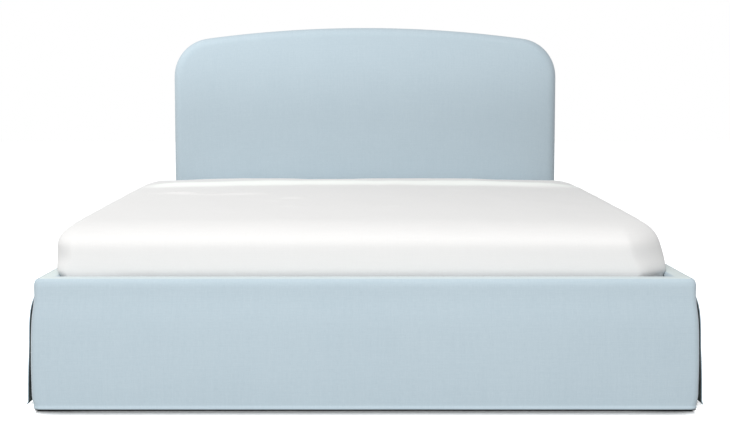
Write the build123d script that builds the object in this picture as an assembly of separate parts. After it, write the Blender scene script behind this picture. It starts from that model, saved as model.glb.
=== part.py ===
from build123d import *
import os

# An upholstered panel bed with an arched headboard, a cloth skirt to the floor with kick pleats at the
# foot corners, a slatted base on a centre beam, and a foam mattress in a white fitted sheet.
# Millimetres. X runs across the bed, +Y towards the headboard, +Z up, floor at Z 0.
# The origin is on the floor, at the middle of the whole bed.

# Mattress, as it is sold
mattress_width = 1600.0
mattress_length = 2000.0
mattress_well_depth = 86.0
mattress_gap = 10.0

# Rails, from inside to outside: cloth, board, padding, cloth, pleat, skirt
rail_height = 348.0
rail_underside = 95.0
board_thickness = 28.0
side_padding = 15.0
top_padding = 14.0
upholstery_cloth = 2.0
pleat_cloth = 2.0
skirt_cloth = 3.0
layer_gap = 0.3
rail_edge_round = 12.0
base_corner_round = 18.0
inner_flap_drop = 70.0
overrun = 40.0

# Skirt
hem_height = 10.0
skirt_top_drop = 4.0
skirt_top_draw = 4.0
skirt_straight_drop = 16.0
skirt_tape_width = 20.0
corner_wrap = 45.0
pleat_slit = 2.0
pleat_reach_front = 24.0
pleat_reach_back = 90.0
pleat_hem_height = 14.0
pleat_hem_swing = 12.0
corner_hem_lift = 12.0
pleat_start_drop = 50.0
side_bulge_depth = 22.0
side_bulge = 8.0
side_hem_flare = 27.0
foot_bulge_depth = 60.0
foot_bulge = 9.0
foot_hem_flare = 4.0
foot_front_share = 0.35

# Corner legs, their bolts and the plastic glides
leg_side = 60.0
glide_thickness = 6.0
glide_radius = 16.0
glide_pin_radius = 2.5
glide_pin_length = 14.0
pin_clearance = 0.1
bolt_height_shares = (0.24, 0.70)
bolt_stagger_share = 0.12
bolt_radius = 4.0
bolt_clearance = 0.5
bolt_head_across = 13.0
bolt_head_height = 5.3
washer_radius = 10.0
washer_thickness = 1.6
tnut_flange_radius = 11.0
tnut_flange = 1.8
tnut_barrel_radius = 5.5
tnut_barrel = 9.0

# Slatted base
slat_count = 12
slat_thickness = 18.0
slat_width = 95.0
slat_end_gap = 3.0
slat_end_margin = 28.0
slat_edge_round = 3.0
webbing_width = 24.0
webbing_thickness = 1.2
webbing_offset_share = 0.3
ledger_width = 24.0
ledger_height = 42.0
ledger_end_gap = 12.0
ledger_screw_count = 6
screw_radius = 2.0
screw_head_radius = 4.2
screw_head_height = 2.6
screw_length = 42.0
slat_screw_length = 35.0
beam_width = 45.0
beam_height = 95.0
hanger_steel = 2.0
hanger_depth = 40.0
hanger_flange = 28.0
hanger_rise = 70.0
hanger_screw_length = 20.0

# Centre legs and their screw feet
centre_leg_side = 50.0
centre_leg_spacing = 700.0
insert_radius = 8.0
insert_length = 20.0
insert_flange_radius = 13.0
insert_flange = 2.0
foot_stud_radius = 5.0
foot_stud_clearance = 0.08
foot_stud_length = 42.0
foot_stud_room = 6.0
foot_pad_radius = 22.0
foot_pad_height = 10.0
foot_pad_round = 3.0

# Headboard
headboard_height = 1110.0
headboard_thickness = 90.0
headboard_lift = 12.0
headboard_crown_radius = 4950.0
headboard_shoulder_radius = 160.0
headboard_edge_round = 34.0
panel_thickness = 15.0
frame_depth = 28.0
frame_width = 70.0
stile_inset = 180.0
cover_return = 45.0
back_cloth = 1.0
back_cloth_inset = 18.0
back_padding_inset = 12.0
spacer_width = 110.0
spacer_drop = 35.0

# Mattress layers and the sheet
sheet_cloth = 1.5
ticking_cloth = 3.0
support_foam_height = 120.0
sheet_tuck = 110.0
mattress_lower_round = 12.0
mattress_straight_height = 88.0
mattress_bulge_height = 110.0
mattress_side_draw = 2.0

# The sheeted mattress as cross-sections: each one's share of the length from the foot, how far its
# side stands out from half the sold width, the height of its side edge above the underside, its
# crown above that and the radius of its shoulder.
mattress_section_shares = (
    0.0, 0.0015, 0.005, 0.012, 0.025, 0.07, 0.16, 0.275, 0.43,
    0.565, 0.64, 0.705, 0.81, 0.925, 0.975, 0.99, 0.997, 1.0,
)
mattress_side_outs = (
    -32.0, -16.0, -4.0, 4.0, 8.0, 9.0, 8.0, 6.0, 4.0,
    3.0, 3.0, 3.0, 3.0, 2.0, -2.0, -7.0, -20.0, -45.0,
)
mattress_edge_heights = (
    152.0, 165.0, 180.0, 195.0, 206.0, 216.0, 225.0, 231.0, 238.0,
    244.0, 247.0, 246.0, 235.0, 219.0, 205.0, 190.0, 174.0, 153.0,
)
mattress_crowns = (
    1.0, 1.5, 2.0, 3.0, 3.5, 4.0, 6.0, 8.0, 11.0,
    10.0, 9.0, 7.0, 4.5, 4.0, 3.0, 2.5, 2.0, 1.0,
)
mattress_shoulders = (
    36.0, 42.0, 48.0, 54.0, 58.0, 60.0, 60.0, 60.0, 60.0,
    60.0, 60.0, 58.0, 52.0, 46.0, 44.0, 42.0, 40.0, 38.0,
)

# Places worked out from the sizes above
headboard_width = mattress_width
mattress_underside = rail_height - mattress_well_depth
opening_half = mattress_width / 2 + mattress_gap
board_in = opening_half + upholstery_cloth + layer_gap
board_out = board_in + board_thickness
padding_out = board_out + layer_gap + side_padding
cover_out = padding_out + layer_gap + upholstery_cloth
pleat_in = cover_out + layer_gap
pleat_out = pleat_in + pleat_cloth
skirt_in = pleat_out + layer_gap
skirt_out = skirt_in + skirt_cloth
rail_stack = skirt_out - opening_half

base_length = rail_stack + mattress_gap * 2 + mattress_length
foot_front_bulge = foot_bulge * foot_front_share
whole_length = foot_front_bulge + base_length + layer_gap + headboard_thickness
rear_of_headboard = whole_length / 2
front_of_headboard = rear_of_headboard - headboard_thickness
base_rear = front_of_headboard - layer_gap
base_foot = base_rear - base_length
opening_foot = base_foot + rail_stack

slat_upper = mattress_underside - layer_gap - webbing_thickness
slat_seat = slat_upper - slat_thickness
board_top = rail_height - upholstery_cloth - layer_gap - top_padding - layer_gap
webbing_offset = mattress_width * webbing_offset_share
spacer_underside = rail_underside - spacer_drop
spacer_top = slat_seat - layer_gap
skirt_top = rail_height - skirt_top_drop
tape_top = rail_height - skirt_straight_drop
tape_bottom = tape_top - skirt_tape_width
pleat_start = rail_height - pleat_start_drop
inner_flap_end = rail_height - inner_flap_drop

foot_board_outer = base_foot + (skirt_out - board_out)
foot_board_inner = foot_board_outer + board_thickness
head_board_inner = base_rear - board_thickness
side_board_rear = base_rear - (skirt_out - board_out)


def block(x_span, y_span, z_span):
    """A box between three pairs of limits."""
    size = [high - low for low, high in (x_span, y_span, z_span)]
    middle = [(high + low) / 2 for low, high in (x_span, y_span, z_span)]
    return Pos(*middle) * Box(*size)


def round_plan(half_width, front, rear, corner, height):
    """A rounded rectangle in plan at a height, between two Y limits."""
    middle = (front + rear) / 2
    return Pos(0, middle, height) * RectangleRounded(2 * half_width, rear - front, corner)


def both_sides(shape):
    """A shape on the left, from the one on the right."""
    return mirror(shape, about=Plane.YZ)


def save(name, *shapes):
    """Writes one sub-part, whose solids stay separate."""
    solids = [solid for shape in shapes for solid in shape.solids()]
    export_step(Compound(children=solids), f"parts/{name}.step")


# Rail boards

def leg_corners():
    """The inner corner of the frame at each leg, with the direction into the bed."""
    return {
        "foot_left": (-board_in, foot_board_inner, 1, 1),
        "foot_right": (board_in, foot_board_inner, -1, 1),
        "head_left": (-board_in, head_board_inner, 1, -1),
        "head_right": (board_in, head_board_inner, -1, -1),
    }


def bolt_heights():
    """The two heights at which the boards are bolted, between their underside and the slats."""
    return [rail_underside + (slat_seat - rail_underside) * share for share in bolt_height_shares]


def leg_bolt_places():
    """Each leg bolt as its seat on the leg, its direction and the board's outer face along it."""
    places = []
    grip = leg_side + board_thickness
    stagger = (slat_seat - rail_underside) * bolt_stagger_share
    for x, y, into_x, into_y in leg_corners().values():
        for height in bolt_heights():
            across = (x + into_x * leg_side, y + into_y * leg_side / 2, height)
            places.append((across, (-into_x, 0, 0), grip))
            along = (x + into_x * leg_side / 2, y + into_y * leg_side, height + stagger)
            places.append((along, (0, -into_y, 0), grip))
    return places


def headboard_bolt_places():
    """Each headboard bolt as its seat on the head board, its direction and its grip."""
    grip = board_thickness + layer_gap + headboard_thickness - back_padding_inset
    centre = stile_centre()
    places = []
    for side in (-1, 1):
        for height in bolt_heights():
            places.append(((side * centre, head_board_inner, height), (0, 1, 0), grip))
    return places


def stile_centre():
    """How far a headboard stile's middle is from the bed's middle."""
    return headboard_width / 2 - stile_inset


def along(place, direction):
    """A frame whose Z axis runs along a direction from a place."""
    return Plane(origin=place, z_dir=direction)


def bolt_hole(place, direction, grip):
    """The clearance hole, with the pocket for the T-nut at its far end."""
    plane = along(place, direction)
    radius = bolt_radius + bolt_clearance
    bottom = (Align.CENTER, Align.CENTER, Align.MIN)
    shank = Pos(0, 0, -overrun) * Cylinder(radius, grip + 2 * overrun, align=bottom)
    barrel = Pos(0, 0, grip - tnut_barrel - tnut_flange) * Cylinder(
        tnut_barrel_radius + pin_clearance, tnut_barrel + overrun, align=bottom
    )
    flange = Pos(0, 0, grip - tnut_flange) * Cylinder(
        tnut_flange_radius + pin_clearance, overrun, align=bottom
    )
    return plane * (shank + barrel + flange)


def bolt_and_washer(place, direction, grip):
    """A hex bolt under its washer, long enough to end flush in the T-nut."""
    plane = along(place, direction)
    bottom = (Align.CENTER, Align.CENTER, Align.MIN)
    ring = Pos(0, 0, -washer_thickness) * (
        Cylinder(washer_radius, washer_thickness, align=bottom)
        - Cylinder(bolt_radius + pin_clearance, washer_thickness, align=bottom)
    )
    head_sketch = RegularPolygon(bolt_head_across / 2, 6, major_radius=False)
    head = Pos(0, 0, -washer_thickness - bolt_head_height) * extrude(head_sketch, bolt_head_height)
    shank = Pos(0, 0, -washer_thickness) * Cylinder(bolt_radius, grip + washer_thickness, align=bottom)
    return [plane * (head + shank), plane * ring]


def tnut(place, direction, grip):
    """The T-nut that the bolt draws against the far face."""
    plane = along(place, direction)
    bottom = (Align.CENTER, Align.CENTER, Align.MIN)
    barrel = Pos(0, 0, grip - tnut_barrel - tnut_flange) * Cylinder(
        tnut_barrel_radius, tnut_barrel + tnut_flange, align=bottom
    )
    flange = Pos(0, 0, grip - tnut_flange) * Cylinder(tnut_flange_radius, tnut_flange, align=bottom)
    bore = Cylinder(bolt_radius + pin_clearance, grip + overrun, align=bottom)
    return plane * (barrel + flange - bore)


def drill(shape, places):
    """A shape with the holes of the bolts that cross it."""
    for place, direction, grip in places:
        shape = shape - bolt_hole(place, direction, grip)
    return shape


def foot_board():
    span = (foot_board_outer, foot_board_inner)
    board = block((-board_out, board_out), span, (rail_underside, board_top))
    return drill(board, leg_bolt_places())


def side_board():
    span = (foot_board_inner, side_board_rear)
    board = block((board_in, board_out), span, (rail_underside, board_top))
    return drill(board, leg_bolt_places())


def head_board():
    span = (head_board_inner, base_rear)
    board = block((-board_in, board_in), span, (rail_underside, slat_seat))
    return drill(board, leg_bolt_places() + headboard_bolt_places())


# Padding and cloth on the rails

def rail_band(outer_inset, inner_inset, low, high, edge_round):
    """A U in plan, round the foot and both sides, with its top edges rounded."""
    corner = max(base_corner_round - outer_inset, layer_gap)
    plan = round_plan(skirt_out - outer_inset, base_foot + outer_inset, base_rear - outer_inset, corner, low)
    half = opening_half + inner_inset
    opening = block((-half, half), (opening_foot - inner_inset, base_rear + overrun), (low - overrun, high + overrun))
    band = extrude(plan, high - low) - opening
    return fillet(band.edges().group_by(Axis.Z)[-1], edge_round)


def foot_mitre():
    """The part of the plan that belongs to the foot rail, with a 45 degree line at each corner."""
    reach = rail_stack + overrun
    outer = skirt_out + overrun
    inner = outer - reach - overrun
    front = base_foot - overrun
    corners = [(-outer, front), (outer, front), (inner, front + reach + overrun), (-inner, front + reach + overrun)]
    return extrude(make_face(Polyline(*corners, close=True)), rail_height + overrun)


def three_rails(band):
    """A U split at its mitres into foot, left and right."""
    foot = band & foot_mitre()
    sides = band - foot_mitre()
    right = sides & block((0, skirt_out + overrun), (base_foot, base_rear), (0, rail_height + overrun))
    return foot, both_sides(right), right


def rail_padding():
    """Foam over the top and the outside of the boards."""
    step = upholstery_cloth + layer_gap
    inset = skirt_out - padding_out
    band = rail_band(inset, step, rail_underside, rail_height - step, rail_edge_round - step)
    half = board_out + layer_gap
    front = foot_board_outer - layer_gap
    rear = side_board_rear + layer_gap
    boards = block((-half, half), (front, rear), (0, board_top + layer_gap))
    return band - boards


def rail_cloth():
    """Upholstery cloth over the padding, stapled inside the boards and under them."""
    step = upholstery_cloth + layer_gap
    inset = skirt_out - cover_out
    band = rail_band(inset, 0, rail_underside, rail_height, rail_edge_round)
    core = rail_band(
        inset + upholstery_cloth,
        upholstery_cloth,
        rail_underside - overrun,
        rail_height - upholstery_cloth,
        rail_edge_round - upholstery_cloth,
    )
    half = opening_half + step
    flap = block((-half, half), (opening_foot - step, base_rear + overrun), (0, inner_flap_end))
    return band - core - flap


# Skirt

def upper_levels():
    """The skirt's top edge, which bends in over the rail, and its straight part."""
    return [
        (skirt_top, -skirt_top_draw, -skirt_top_draw),
        (tape_top, 0, 0),
        (pleat_start, 0, 0),
    ]


def skirt_tube(levels):
    """Cloth all round the base, as a ruled loft; each level has its height and its side and front flare."""
    def solid(inset):
        sections = []
        for height, side_flare, front_flare in levels:
            front = base_foot - front_flare + inset
            half = skirt_out + side_flare - inset
            corner = base_corner_round + min(side_flare, 0) - inset
            sections.append(round_plan(half, front, base_rear - inset, corner, height))
        return loft(sections, ruled=True)

    return solid(0) - solid(skirt_cloth)


def foot_skirt():
    """The front cloth, which wraps both corners; its hem rises along each wrap."""
    levels = upper_levels() + [
        (pleat_start - foot_bulge_depth, foot_bulge, foot_bulge * foot_front_share),
        (hem_height + foot_bulge_depth, foot_bulge, foot_bulge * foot_front_share),
        (hem_height, foot_hem_flare, foot_hem_flare * foot_front_share),
    ]
    outer = skirt_out + overrun
    wrap_end = base_foot + corner_wrap
    cloth = skirt_tube(levels) & block((-outer, outer), (base_foot - overrun, wrap_end), (0, rail_height))
    turn = base_foot + base_corner_round
    slope = [(turn, hem_height), (wrap_end, hem_height), (wrap_end, hem_height + corner_hem_lift)]
    wedge = extrude(Plane.YZ * make_face(Polyline(*slope, close=True)), outer, both=True)
    return cloth - wedge


def side_skirt():
    """The right side cloth, open at the kick pleat and wrapped round the rear corner."""
    levels = upper_levels() + [
        (pleat_start - side_bulge_depth, side_bulge, 0),
        (hem_height, side_hem_flare, 0),
    ]
    start = base_foot + corner_wrap + pleat_slit
    span = (board_in + layer_gap, skirt_out + overrun)
    return skirt_tube(levels) & block(span, (start, base_rear), (0, rail_height))


def corner_pleat():
    """The right pleat's underlay, sewn behind the slit, its rear edge swung out at the hem."""
    front = base_foot + pleat_reach_front
    rear = base_foot + corner_wrap + pleat_reach_back
    top = tape_bottom - layer_gap

    def strip(height, swing):
        corners = [(pleat_in, front), (pleat_out, front), (pleat_out + swing, rear), (pleat_in + swing, rear)]
        return Pos(0, 0, height) * make_face(Polyline(*corners, close=True))

    return loft([strip(top, 0), strip(pleat_start, 0), strip(pleat_hem_height, pleat_hem_swing)], ruled=True)


def skirt_tape():
    """Hook and loop tape that holds the skirt's top edge to the rail cloth."""
    def plan(line):
        inset = skirt_out - line
        return round_plan(line, base_foot + inset, base_rear - inset, base_corner_round - inset, tape_bottom)

    ring = extrude(plan(pleat_out), skirt_tape_width) - extrude(plan(pleat_in), skirt_tape_width)
    half = opening_half
    return ring - block((-half, half), (opening_foot, base_rear + overrun), (0, rail_height))


# Legs

def corner_leg(x, y, into_x, into_y):
    """A square post in a corner of the frame, bolted to both boards, up to the slats."""
    x_span = sorted((x, x + into_x * leg_side))
    y_span = sorted((y, y + into_y * leg_side))
    post = block(x_span, y_span, (glide_thickness, slat_seat))
    return drill(post, leg_bolt_places()) - glide_pin(*leg_middle(x, y, into_x, into_y), glide_thickness, pin_clearance)


def leg_middle(x, y, into_x, into_y):
    """The middle of a corner leg in plan."""
    return x + into_x * leg_side / 2, y + into_y * leg_side / 2


def glide_pin(x, y, underside, clearance=0.0):
    """The nail of a glide, which goes up into the wood from an underside."""
    radius = glide_pin_radius + clearance
    return Pos(x, y, underside) * Cylinder(
        radius, glide_pin_length + clearance, align=(Align.CENTER, Align.CENTER, Align.MIN)
    )


def glide(x, y, height):
    """A round plastic glide of a height, with its nail."""
    disc = Pos(x, y, 0) * Cylinder(glide_radius, height, align=(Align.CENTER, Align.CENTER, Align.MIN))
    return disc + glide_pin(x, y, height)


def floor_glides():
    """A glide under each corner leg and under each headboard stile."""
    legs = [glide(*leg_middle(*corner), glide_thickness) for corner in leg_corners().values()]
    return legs + [glide(side * stile_centre(), frame_middle(), frame_base()) for side in (-1, 1)]


# Slatted base

def ledger_span():
    """The ledgers' limits in Y, clear of the leg bolts' heads."""
    return (foot_board_inner + leg_side + ledger_end_gap, head_board_inner - leg_side - ledger_end_gap)


def ledger():
    """The right batten, screwed inside the side board between the legs."""
    height = (slat_seat - ledger_height, slat_seat)
    batten = block((board_in - ledger_width, board_in), ledger_span(), height)
    for place, direction in ledger_screw_places():
        batten = batten - screw_hole(place, direction, screw_length)
    for index in range(slat_count):
        for place, direction in slat_screw_places(index):
            batten = batten - screw_hole(place, direction, slat_screw_length)
    return batten


def ledger_screw_places():
    """Screws through the right ledger into its board."""
    first, last = ledger_span()
    first = first + overrun
    last = last - overrun
    pitch = (last - first) / (ledger_screw_count - 1)
    height = slat_seat - ledger_height / 2
    return [((board_in - ledger_width, first + i * pitch, height), (1, 0, 0)) for i in range(ledger_screw_count)]


def screw(place, direction, length):
    """A countersunk wood screw, its head flush at the place."""
    bottom = (Align.CENTER, Align.CENTER, Align.MIN)
    head = Cone(screw_head_radius, screw_radius, screw_head_height, align=bottom)
    return along(place, direction) * (head + Cylinder(screw_radius, length, align=bottom))


def screw_hole(place, direction, length):
    """The hole that a screw fills, a little wider than the screw."""
    bottom = (Align.CENTER, Align.CENTER, Align.MIN)
    head = Cone(
        screw_head_radius + pin_clearance, screw_radius + pin_clearance, screw_head_height, align=bottom
    )
    return along(place, direction) * (head + Cylinder(screw_radius + pin_clearance, length + pin_clearance, align=bottom))


def slat_middle(index):
    """A slat's place along the bed."""
    first = opening_foot + slat_end_margin + slat_width / 2
    last = head_board_inner - slat_end_margin - slat_width / 2
    return first + (last - first) * index / (slat_count - 1)


def slat_screw_places(index):
    """Screws through a slat's ends into the ledgers, kept off the ledgers' own ends."""
    first, last = ledger_span()
    y = min(max(slat_middle(index), first + ledger_end_gap), last - ledger_end_gap)
    x = board_in - ledger_width / 2
    return [((side * x, y, slat_upper), (0, 0, -1)) for side in (-1, 1)]


def slat(index):
    """One pine slat, across the ledgers and the centre beam."""
    middle = slat_middle(index)
    half = board_in - slat_end_gap
    plank = block((-half, half), (middle - slat_width / 2, middle + slat_width / 2), (slat_seat, slat_upper))
    plank = fillet(plank.edges().filter_by(Axis.X), slat_edge_round)
    for place, direction in slat_screw_places(index):
        plank = plank - screw_hole(place, direction, slat_screw_length)
    return plank


def webbing():
    """Two straps stapled along the slats."""
    span = (opening_foot + slat_end_margin, head_board_inner - slat_end_margin)
    half = webbing_width / 2
    height = (slat_upper, slat_upper + webbing_thickness)
    return [block((side * webbing_offset - half, side * webbing_offset + half), span, height) for side in (-1, 1)]


def beam_bottom():
    return slat_seat - beam_height


def centre_leg_places():
    """The centre legs' places along the bed."""
    middle = (foot_board_inner + head_board_inner) / 2
    return [middle - centre_leg_spacing / 2, middle + centre_leg_spacing / 2]


def centre_beam():
    """The beam under the slats' middle, with the top holes of its legs' dowels."""
    span = (foot_board_inner + hanger_steel, head_board_inner - hanger_steel)
    beam = block((-beam_width / 2, beam_width / 2), span, (beam_bottom(), slat_seat))
    for place in hanger_screw_places():
        beam = beam - screw_hole(*place, hanger_screw_length)
    return beam


def hanger(back, inward):
    """A bent steel saddle on a board's inner face that holds one end of the beam."""
    half = beam_width / 2 + hanger_steel
    depth = sorted((back, back + inward * hanger_depth))
    low = beam_bottom() - hanger_steel
    saddle = block((-half, half), depth, (low, low + hanger_rise))
    room = block((-beam_width / 2, beam_width / 2), depth, (beam_bottom(), low + hanger_rise))
    end = sorted((back, back + inward * hanger_steel))
    plate = block((-half - hanger_flange, half + hanger_flange), end, (low, low + hanger_rise))
    shape = saddle - room + plate
    for place in hanger_screw_places() + hanger_board_screws():
        shape = shape - screw_hole(*place, hanger_screw_length)
    return shape


def hanger_ends():
    """Where each hanger's back is, and which way the bed lies from it."""
    return ((foot_board_inner, 1), (head_board_inner, -1))


def hanger_screw_places():
    """Screws through the hangers' cheeks into the beam."""
    height = beam_bottom() - hanger_steel + hanger_rise / 2
    places = []
    for back, inward in hanger_ends():
        for side in (-1, 1):
            seat = (side * (beam_width / 2 + hanger_steel), back + inward * hanger_depth / 2, height)
            places.append((seat, (-side, 0, 0)))
    return places


def hanger_board_screws():
    """Screws through the hangers' flanges into the boards."""
    low = beam_bottom() - hanger_steel
    out = beam_width / 2 + hanger_steel + hanger_flange / 2
    places = []
    for back, inward in hanger_ends():
        for side in (-1, 1):
            for share in (1, 3):
                seat = (side * out, back + inward * hanger_steel, low + hanger_rise * share / 4)
                places.append((seat, (0, -inward, 0)))
    return places


def drilled_for_hangers(board):
    """A board with the pilot holes of its hanger's screws."""
    for place in hanger_board_screws():
        board = board - screw_hole(*place, hanger_screw_length)
    return board


def drilled_for_ledger(board):
    """A side board with the pilot holes of its ledger's screws."""
    for place in ledger_screw_places():
        board = board - screw_hole(*place, screw_length)
    return board


def wood_screws():
    """Every countersunk screw of the slatted base."""
    sides = [screw(*place, screw_length) for place in ledger_screw_places()]
    steel = [screw(*place, hanger_screw_length) for place in hanger_screw_places() + hanger_board_screws()]
    planks = [screw(*place, slat_screw_length) for index in range(slat_count) for place in slat_screw_places(index)]
    return sides + [both_sides(shape) for shape in sides] + steel + planks


# Centre legs and screw feet

def centre_leg(y):
    """A square leg under the beam, bored from below for the steel insert and the foot's stud."""
    half = centre_leg_side / 2
    underside = foot_pad_height + insert_flange
    leg = block((-half, half), (y - half, y + half), (underside, beam_bottom()))
    bottom = (Align.CENTER, Align.CENTER, Align.MIN)
    seat = Pos(0, y, underside) * Cylinder(insert_radius + pin_clearance, insert_length, align=bottom)
    room = Pos(0, y, underside) * Cylinder(
        foot_stud_radius + bolt_clearance, foot_stud_length + foot_stud_room, align=bottom
    )
    return leg - seat - room


def leg_insert(y):
    """The flanged steel insert that the foot's stud turns in."""
    bottom = (Align.CENTER, Align.CENTER, Align.MIN)
    flange = Pos(0, y, foot_pad_height) * Cylinder(insert_flange_radius, insert_flange, align=bottom)
    barrel = Pos(0, y, foot_pad_height) * Cylinder(insert_radius, insert_flange + insert_length, align=bottom)
    bore = Pos(0, y, 0) * Cylinder(
        foot_stud_radius + foot_stud_clearance, foot_stud_length + overrun, align=bottom
    )
    return flange + barrel - bore


def screw_foot(y):
    """A plastic pad on a steel stud, turned fully up against the insert."""
    bottom = (Align.CENTER, Align.CENTER, Align.MIN)
    pad = Pos(0, y, 0) * Cylinder(foot_pad_radius, foot_pad_height, align=bottom)
    pad = fillet(pad.edges().group_by(Axis.Z)[-1], foot_pad_round)
    stud = Pos(0, y, 0) * Cylinder(foot_stud_radius, foot_stud_length, align=bottom)
    return pad + stud


# Headboard

def headboard_face(inset, low):
    """The headboard's outline drawn in by an inset, as a face in the XZ plane from a low edge up."""
    half = headboard_width / 2 - inset
    top = headboard_height - inset
    crown = headboard_crown_radius - inset
    shoulder = headboard_shoulder_radius - inset
    reach = ((crown - shoulder) ** 2 - (half - shoulder) ** 2) ** 0.5
    centre = top - crown + reach
    share = crown / (crown - shoulder)
    touch = ((half - shoulder) * share, top - crown + reach * share)
    bend = shoulder * 0.5 ** 0.5
    middle = (half - shoulder + bend, centre + bend)
    right = ThreePointArc((half, centre), shoulder_middle(half, shoulder, centre, touch), touch)
    left = ThreePointArc((-touch[0], touch[1]), mirrored(shoulder_middle(half, shoulder, centre, touch)), (-half, centre))
    arch = ThreePointArc(touch, (0, top), (-touch[0], touch[1]))
    walls = Line((-half, centre), (-half, low)) + Line((-half, low), (half, low)) + Line((half, low), (half, centre))
    return Plane.XZ * make_face(right + arch + left + walls)


def shoulder_middle(half, shoulder, centre, touch):
    """The middle of a shoulder's arc, between the side and the crown's arc."""
    axis = (half - shoulder, centre)
    away = (Vector(touch[0] - axis[0], touch[1] - axis[1]).normalized() + Vector(1, 0)).normalized() * shoulder
    return axis[0] + away.X, axis[1] + away.Y


def mirrored(point):
    """A point on the other side of the bed's middle."""
    return -point[0], point[1]


def headboard_slab(inset, low, front, rear):
    """The outline as a slab between two Y limits."""
    return Pos(0, rear, 0) * extrude(headboard_face(inset, low), rear - front)


def panel_front():
    """The front of the plywood panel, behind the foam."""
    return frame_front() - panel_thickness


def frame_front():
    """The front of the timber frame, behind the panel."""
    return rear_of_headboard - back_padding_inset - frame_depth


def frame_middle():
    return frame_front() + frame_depth / 2


def frame_base():
    """The underside of the panel and the frame."""
    return headboard_lift + upholstery_cloth + layer_gap


def spacer_x_span(side, room):
    """A spacer block's limits in X, with some room round it."""
    half = spacer_width / 2 + room
    return (side * stile_centre() - half, side * stile_centre() + half)


def headboard_cloth():
    """The front cloth, over the foam's rounded edge and back to the frame."""
    outer = headboard_slab(0, headboard_lift, front_of_headboard, rear_of_headboard)
    outer = fillet(outer.faces().sort_by(Axis.Y)[0].edges(), headboard_edge_round)
    step = upholstery_cloth
    inner = headboard_slab(step, headboard_lift + step, front_of_headboard + step, rear_of_headboard + overrun)
    inner = fillet(inner.faces().sort_by(Axis.Y)[0].edges(), headboard_edge_round - step)
    shell = outer - inner
    for side in (-1, 1):
        room = Pos(side * stile_centre(), frame_middle(), 0) * Cylinder(glide_radius + layer_gap, 2 * frame_base())
        shell = shell - room
    rim = headboard_slab(step, headboard_lift + step, rear_of_headboard - back_cloth - step, rear_of_headboard - back_cloth)
    mouth = headboard_slab(cover_return, headboard_lift + cover_return, front_of_headboard, rear_of_headboard)
    return drill(shell + (rim - mouth), headboard_bolt_places())


def headboard_foam():
    """Foam in front of the panel, with pockets for the two spacers."""
    step = upholstery_cloth + layer_gap
    front = front_of_headboard + step
    pad = headboard_slab(step, headboard_lift + step, front, panel_front() - layer_gap)
    pad = fillet(pad.faces().sort_by(Axis.Y)[0].edges(), headboard_edge_round - step)
    height = (spacer_underside - layer_gap, spacer_top + layer_gap)
    for side in (-1, 1):
        pad = pad - block(spacer_x_span(side, layer_gap), (front - overrun, panel_front()), height)
    return pad


def headboard_spacer(side):
    """A wood block in the foam that the bolts clamp between the bed and the panel."""
    front = front_of_headboard + upholstery_cloth + layer_gap
    body = block(spacer_x_span(side, 0), (front, panel_front()), (spacer_underside, spacer_top))
    return drill(body, headboard_bolt_places())


def headboard_panel():
    """The plywood face that gives the headboard its arched outline."""
    inset = upholstery_cloth + layer_gap
    panel = headboard_slab(inset, frame_base(), panel_front(), frame_front())
    return drill(panel, headboard_bolt_places())


def frame_span():
    """The frame timbers' limits in Y."""
    return (frame_front(), frame_front() + frame_depth)


def headboard_stile(side):
    """An upright behind the panel, which carries the bolts and stands on a glide."""
    half = frame_width / 2
    centre = side * stile_centre()
    top = stile_top()
    body = block((centre - half, centre + half), frame_span(), (frame_base(), top))
    body = body - glide_pin(centre, frame_middle(), frame_base(), pin_clearance)
    return drill(body, headboard_bolt_places())


def stile_top():
    """Where the stiles end, under the top cross timber."""
    return headboard_height - headboard_shoulder_radius


def headboard_crossbar(low):
    """A timber between the stiles."""
    half = stile_centre() - frame_width / 2
    return block((-half, half), frame_span(), (low, low + frame_width))


def headboard_back():
    """The thin cloth that closes the back."""
    rear = rear_of_headboard
    return headboard_slab(back_cloth_inset, headboard_lift + back_cloth_inset, rear - back_cloth, rear)


# Mattress

def mattress_section(inset, place, side_out, edge_height, crown, shoulder):
    """One cross-section of the mattress, drawn in by an inset, as a face across the bed."""
    half = mattress_width / 2 + side_out - inset
    low = mattress_underside + inset
    edge = mattress_underside + edge_height - inset
    radius = shoulder - inset
    straight = half - mattress_side_draw - abs(side_out) / 2
    lower = low + mattress_lower_round
    bend = radius * 0.5 ** 0.5
    flank = [
        (straight - mattress_lower_round, low),
        (straight, lower),
        (straight, mattress_underside + mattress_straight_height),
        (half, mattress_underside + mattress_bulge_height - inset),
        (half, edge - radius),
    ]
    turned = [(-x, z) for x, z in reversed(flank)]
    base = Polyline(*turned, *flank)
    top = (half - radius, edge)
    right = ThreePointArc(flank[-1], (half - radius + bend, edge - radius + bend), top)
    left = ThreePointArc((-top[0], top[1]), (-half + radius - bend, edge - radius + bend), turned[0])
    arch = ThreePointArc(top, (0, edge + crown), (-top[0], top[1]))
    return Pos(0, place, 0) * (Plane.XZ * make_face(base + right + arch + left))


def mattress_form(inset):
    """The sheeted mattress drawn in by an inset on every side."""
    foot = opening_foot + mattress_gap
    sections = []
    rows = zip(mattress_section_shares, mattress_side_outs, mattress_edge_heights, mattress_crowns, mattress_shoulders)
    for share, *sizes in rows:
        shift = inset if share < mattress_section_shares[len(mattress_section_shares) // 2] else -inset
        sections.append(mattress_section(inset, foot + mattress_length * share + shift, *sizes))
    return loft(sections, ruled=True)


def fitted_sheet():
    """The white sheet over the top and sides, gathered under the mattress's edge."""
    inside = mattress_form(sheet_cloth)
    half = mattress_width / 2 - sheet_tuck
    y_span = (opening_foot + mattress_gap + sheet_tuck, front_of_headboard - mattress_gap - sheet_tuck)
    hole = block((-half, half), y_span, (0, mattress_underside + support_foam_height))
    return mattress_form(0) - inside - hole


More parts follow.
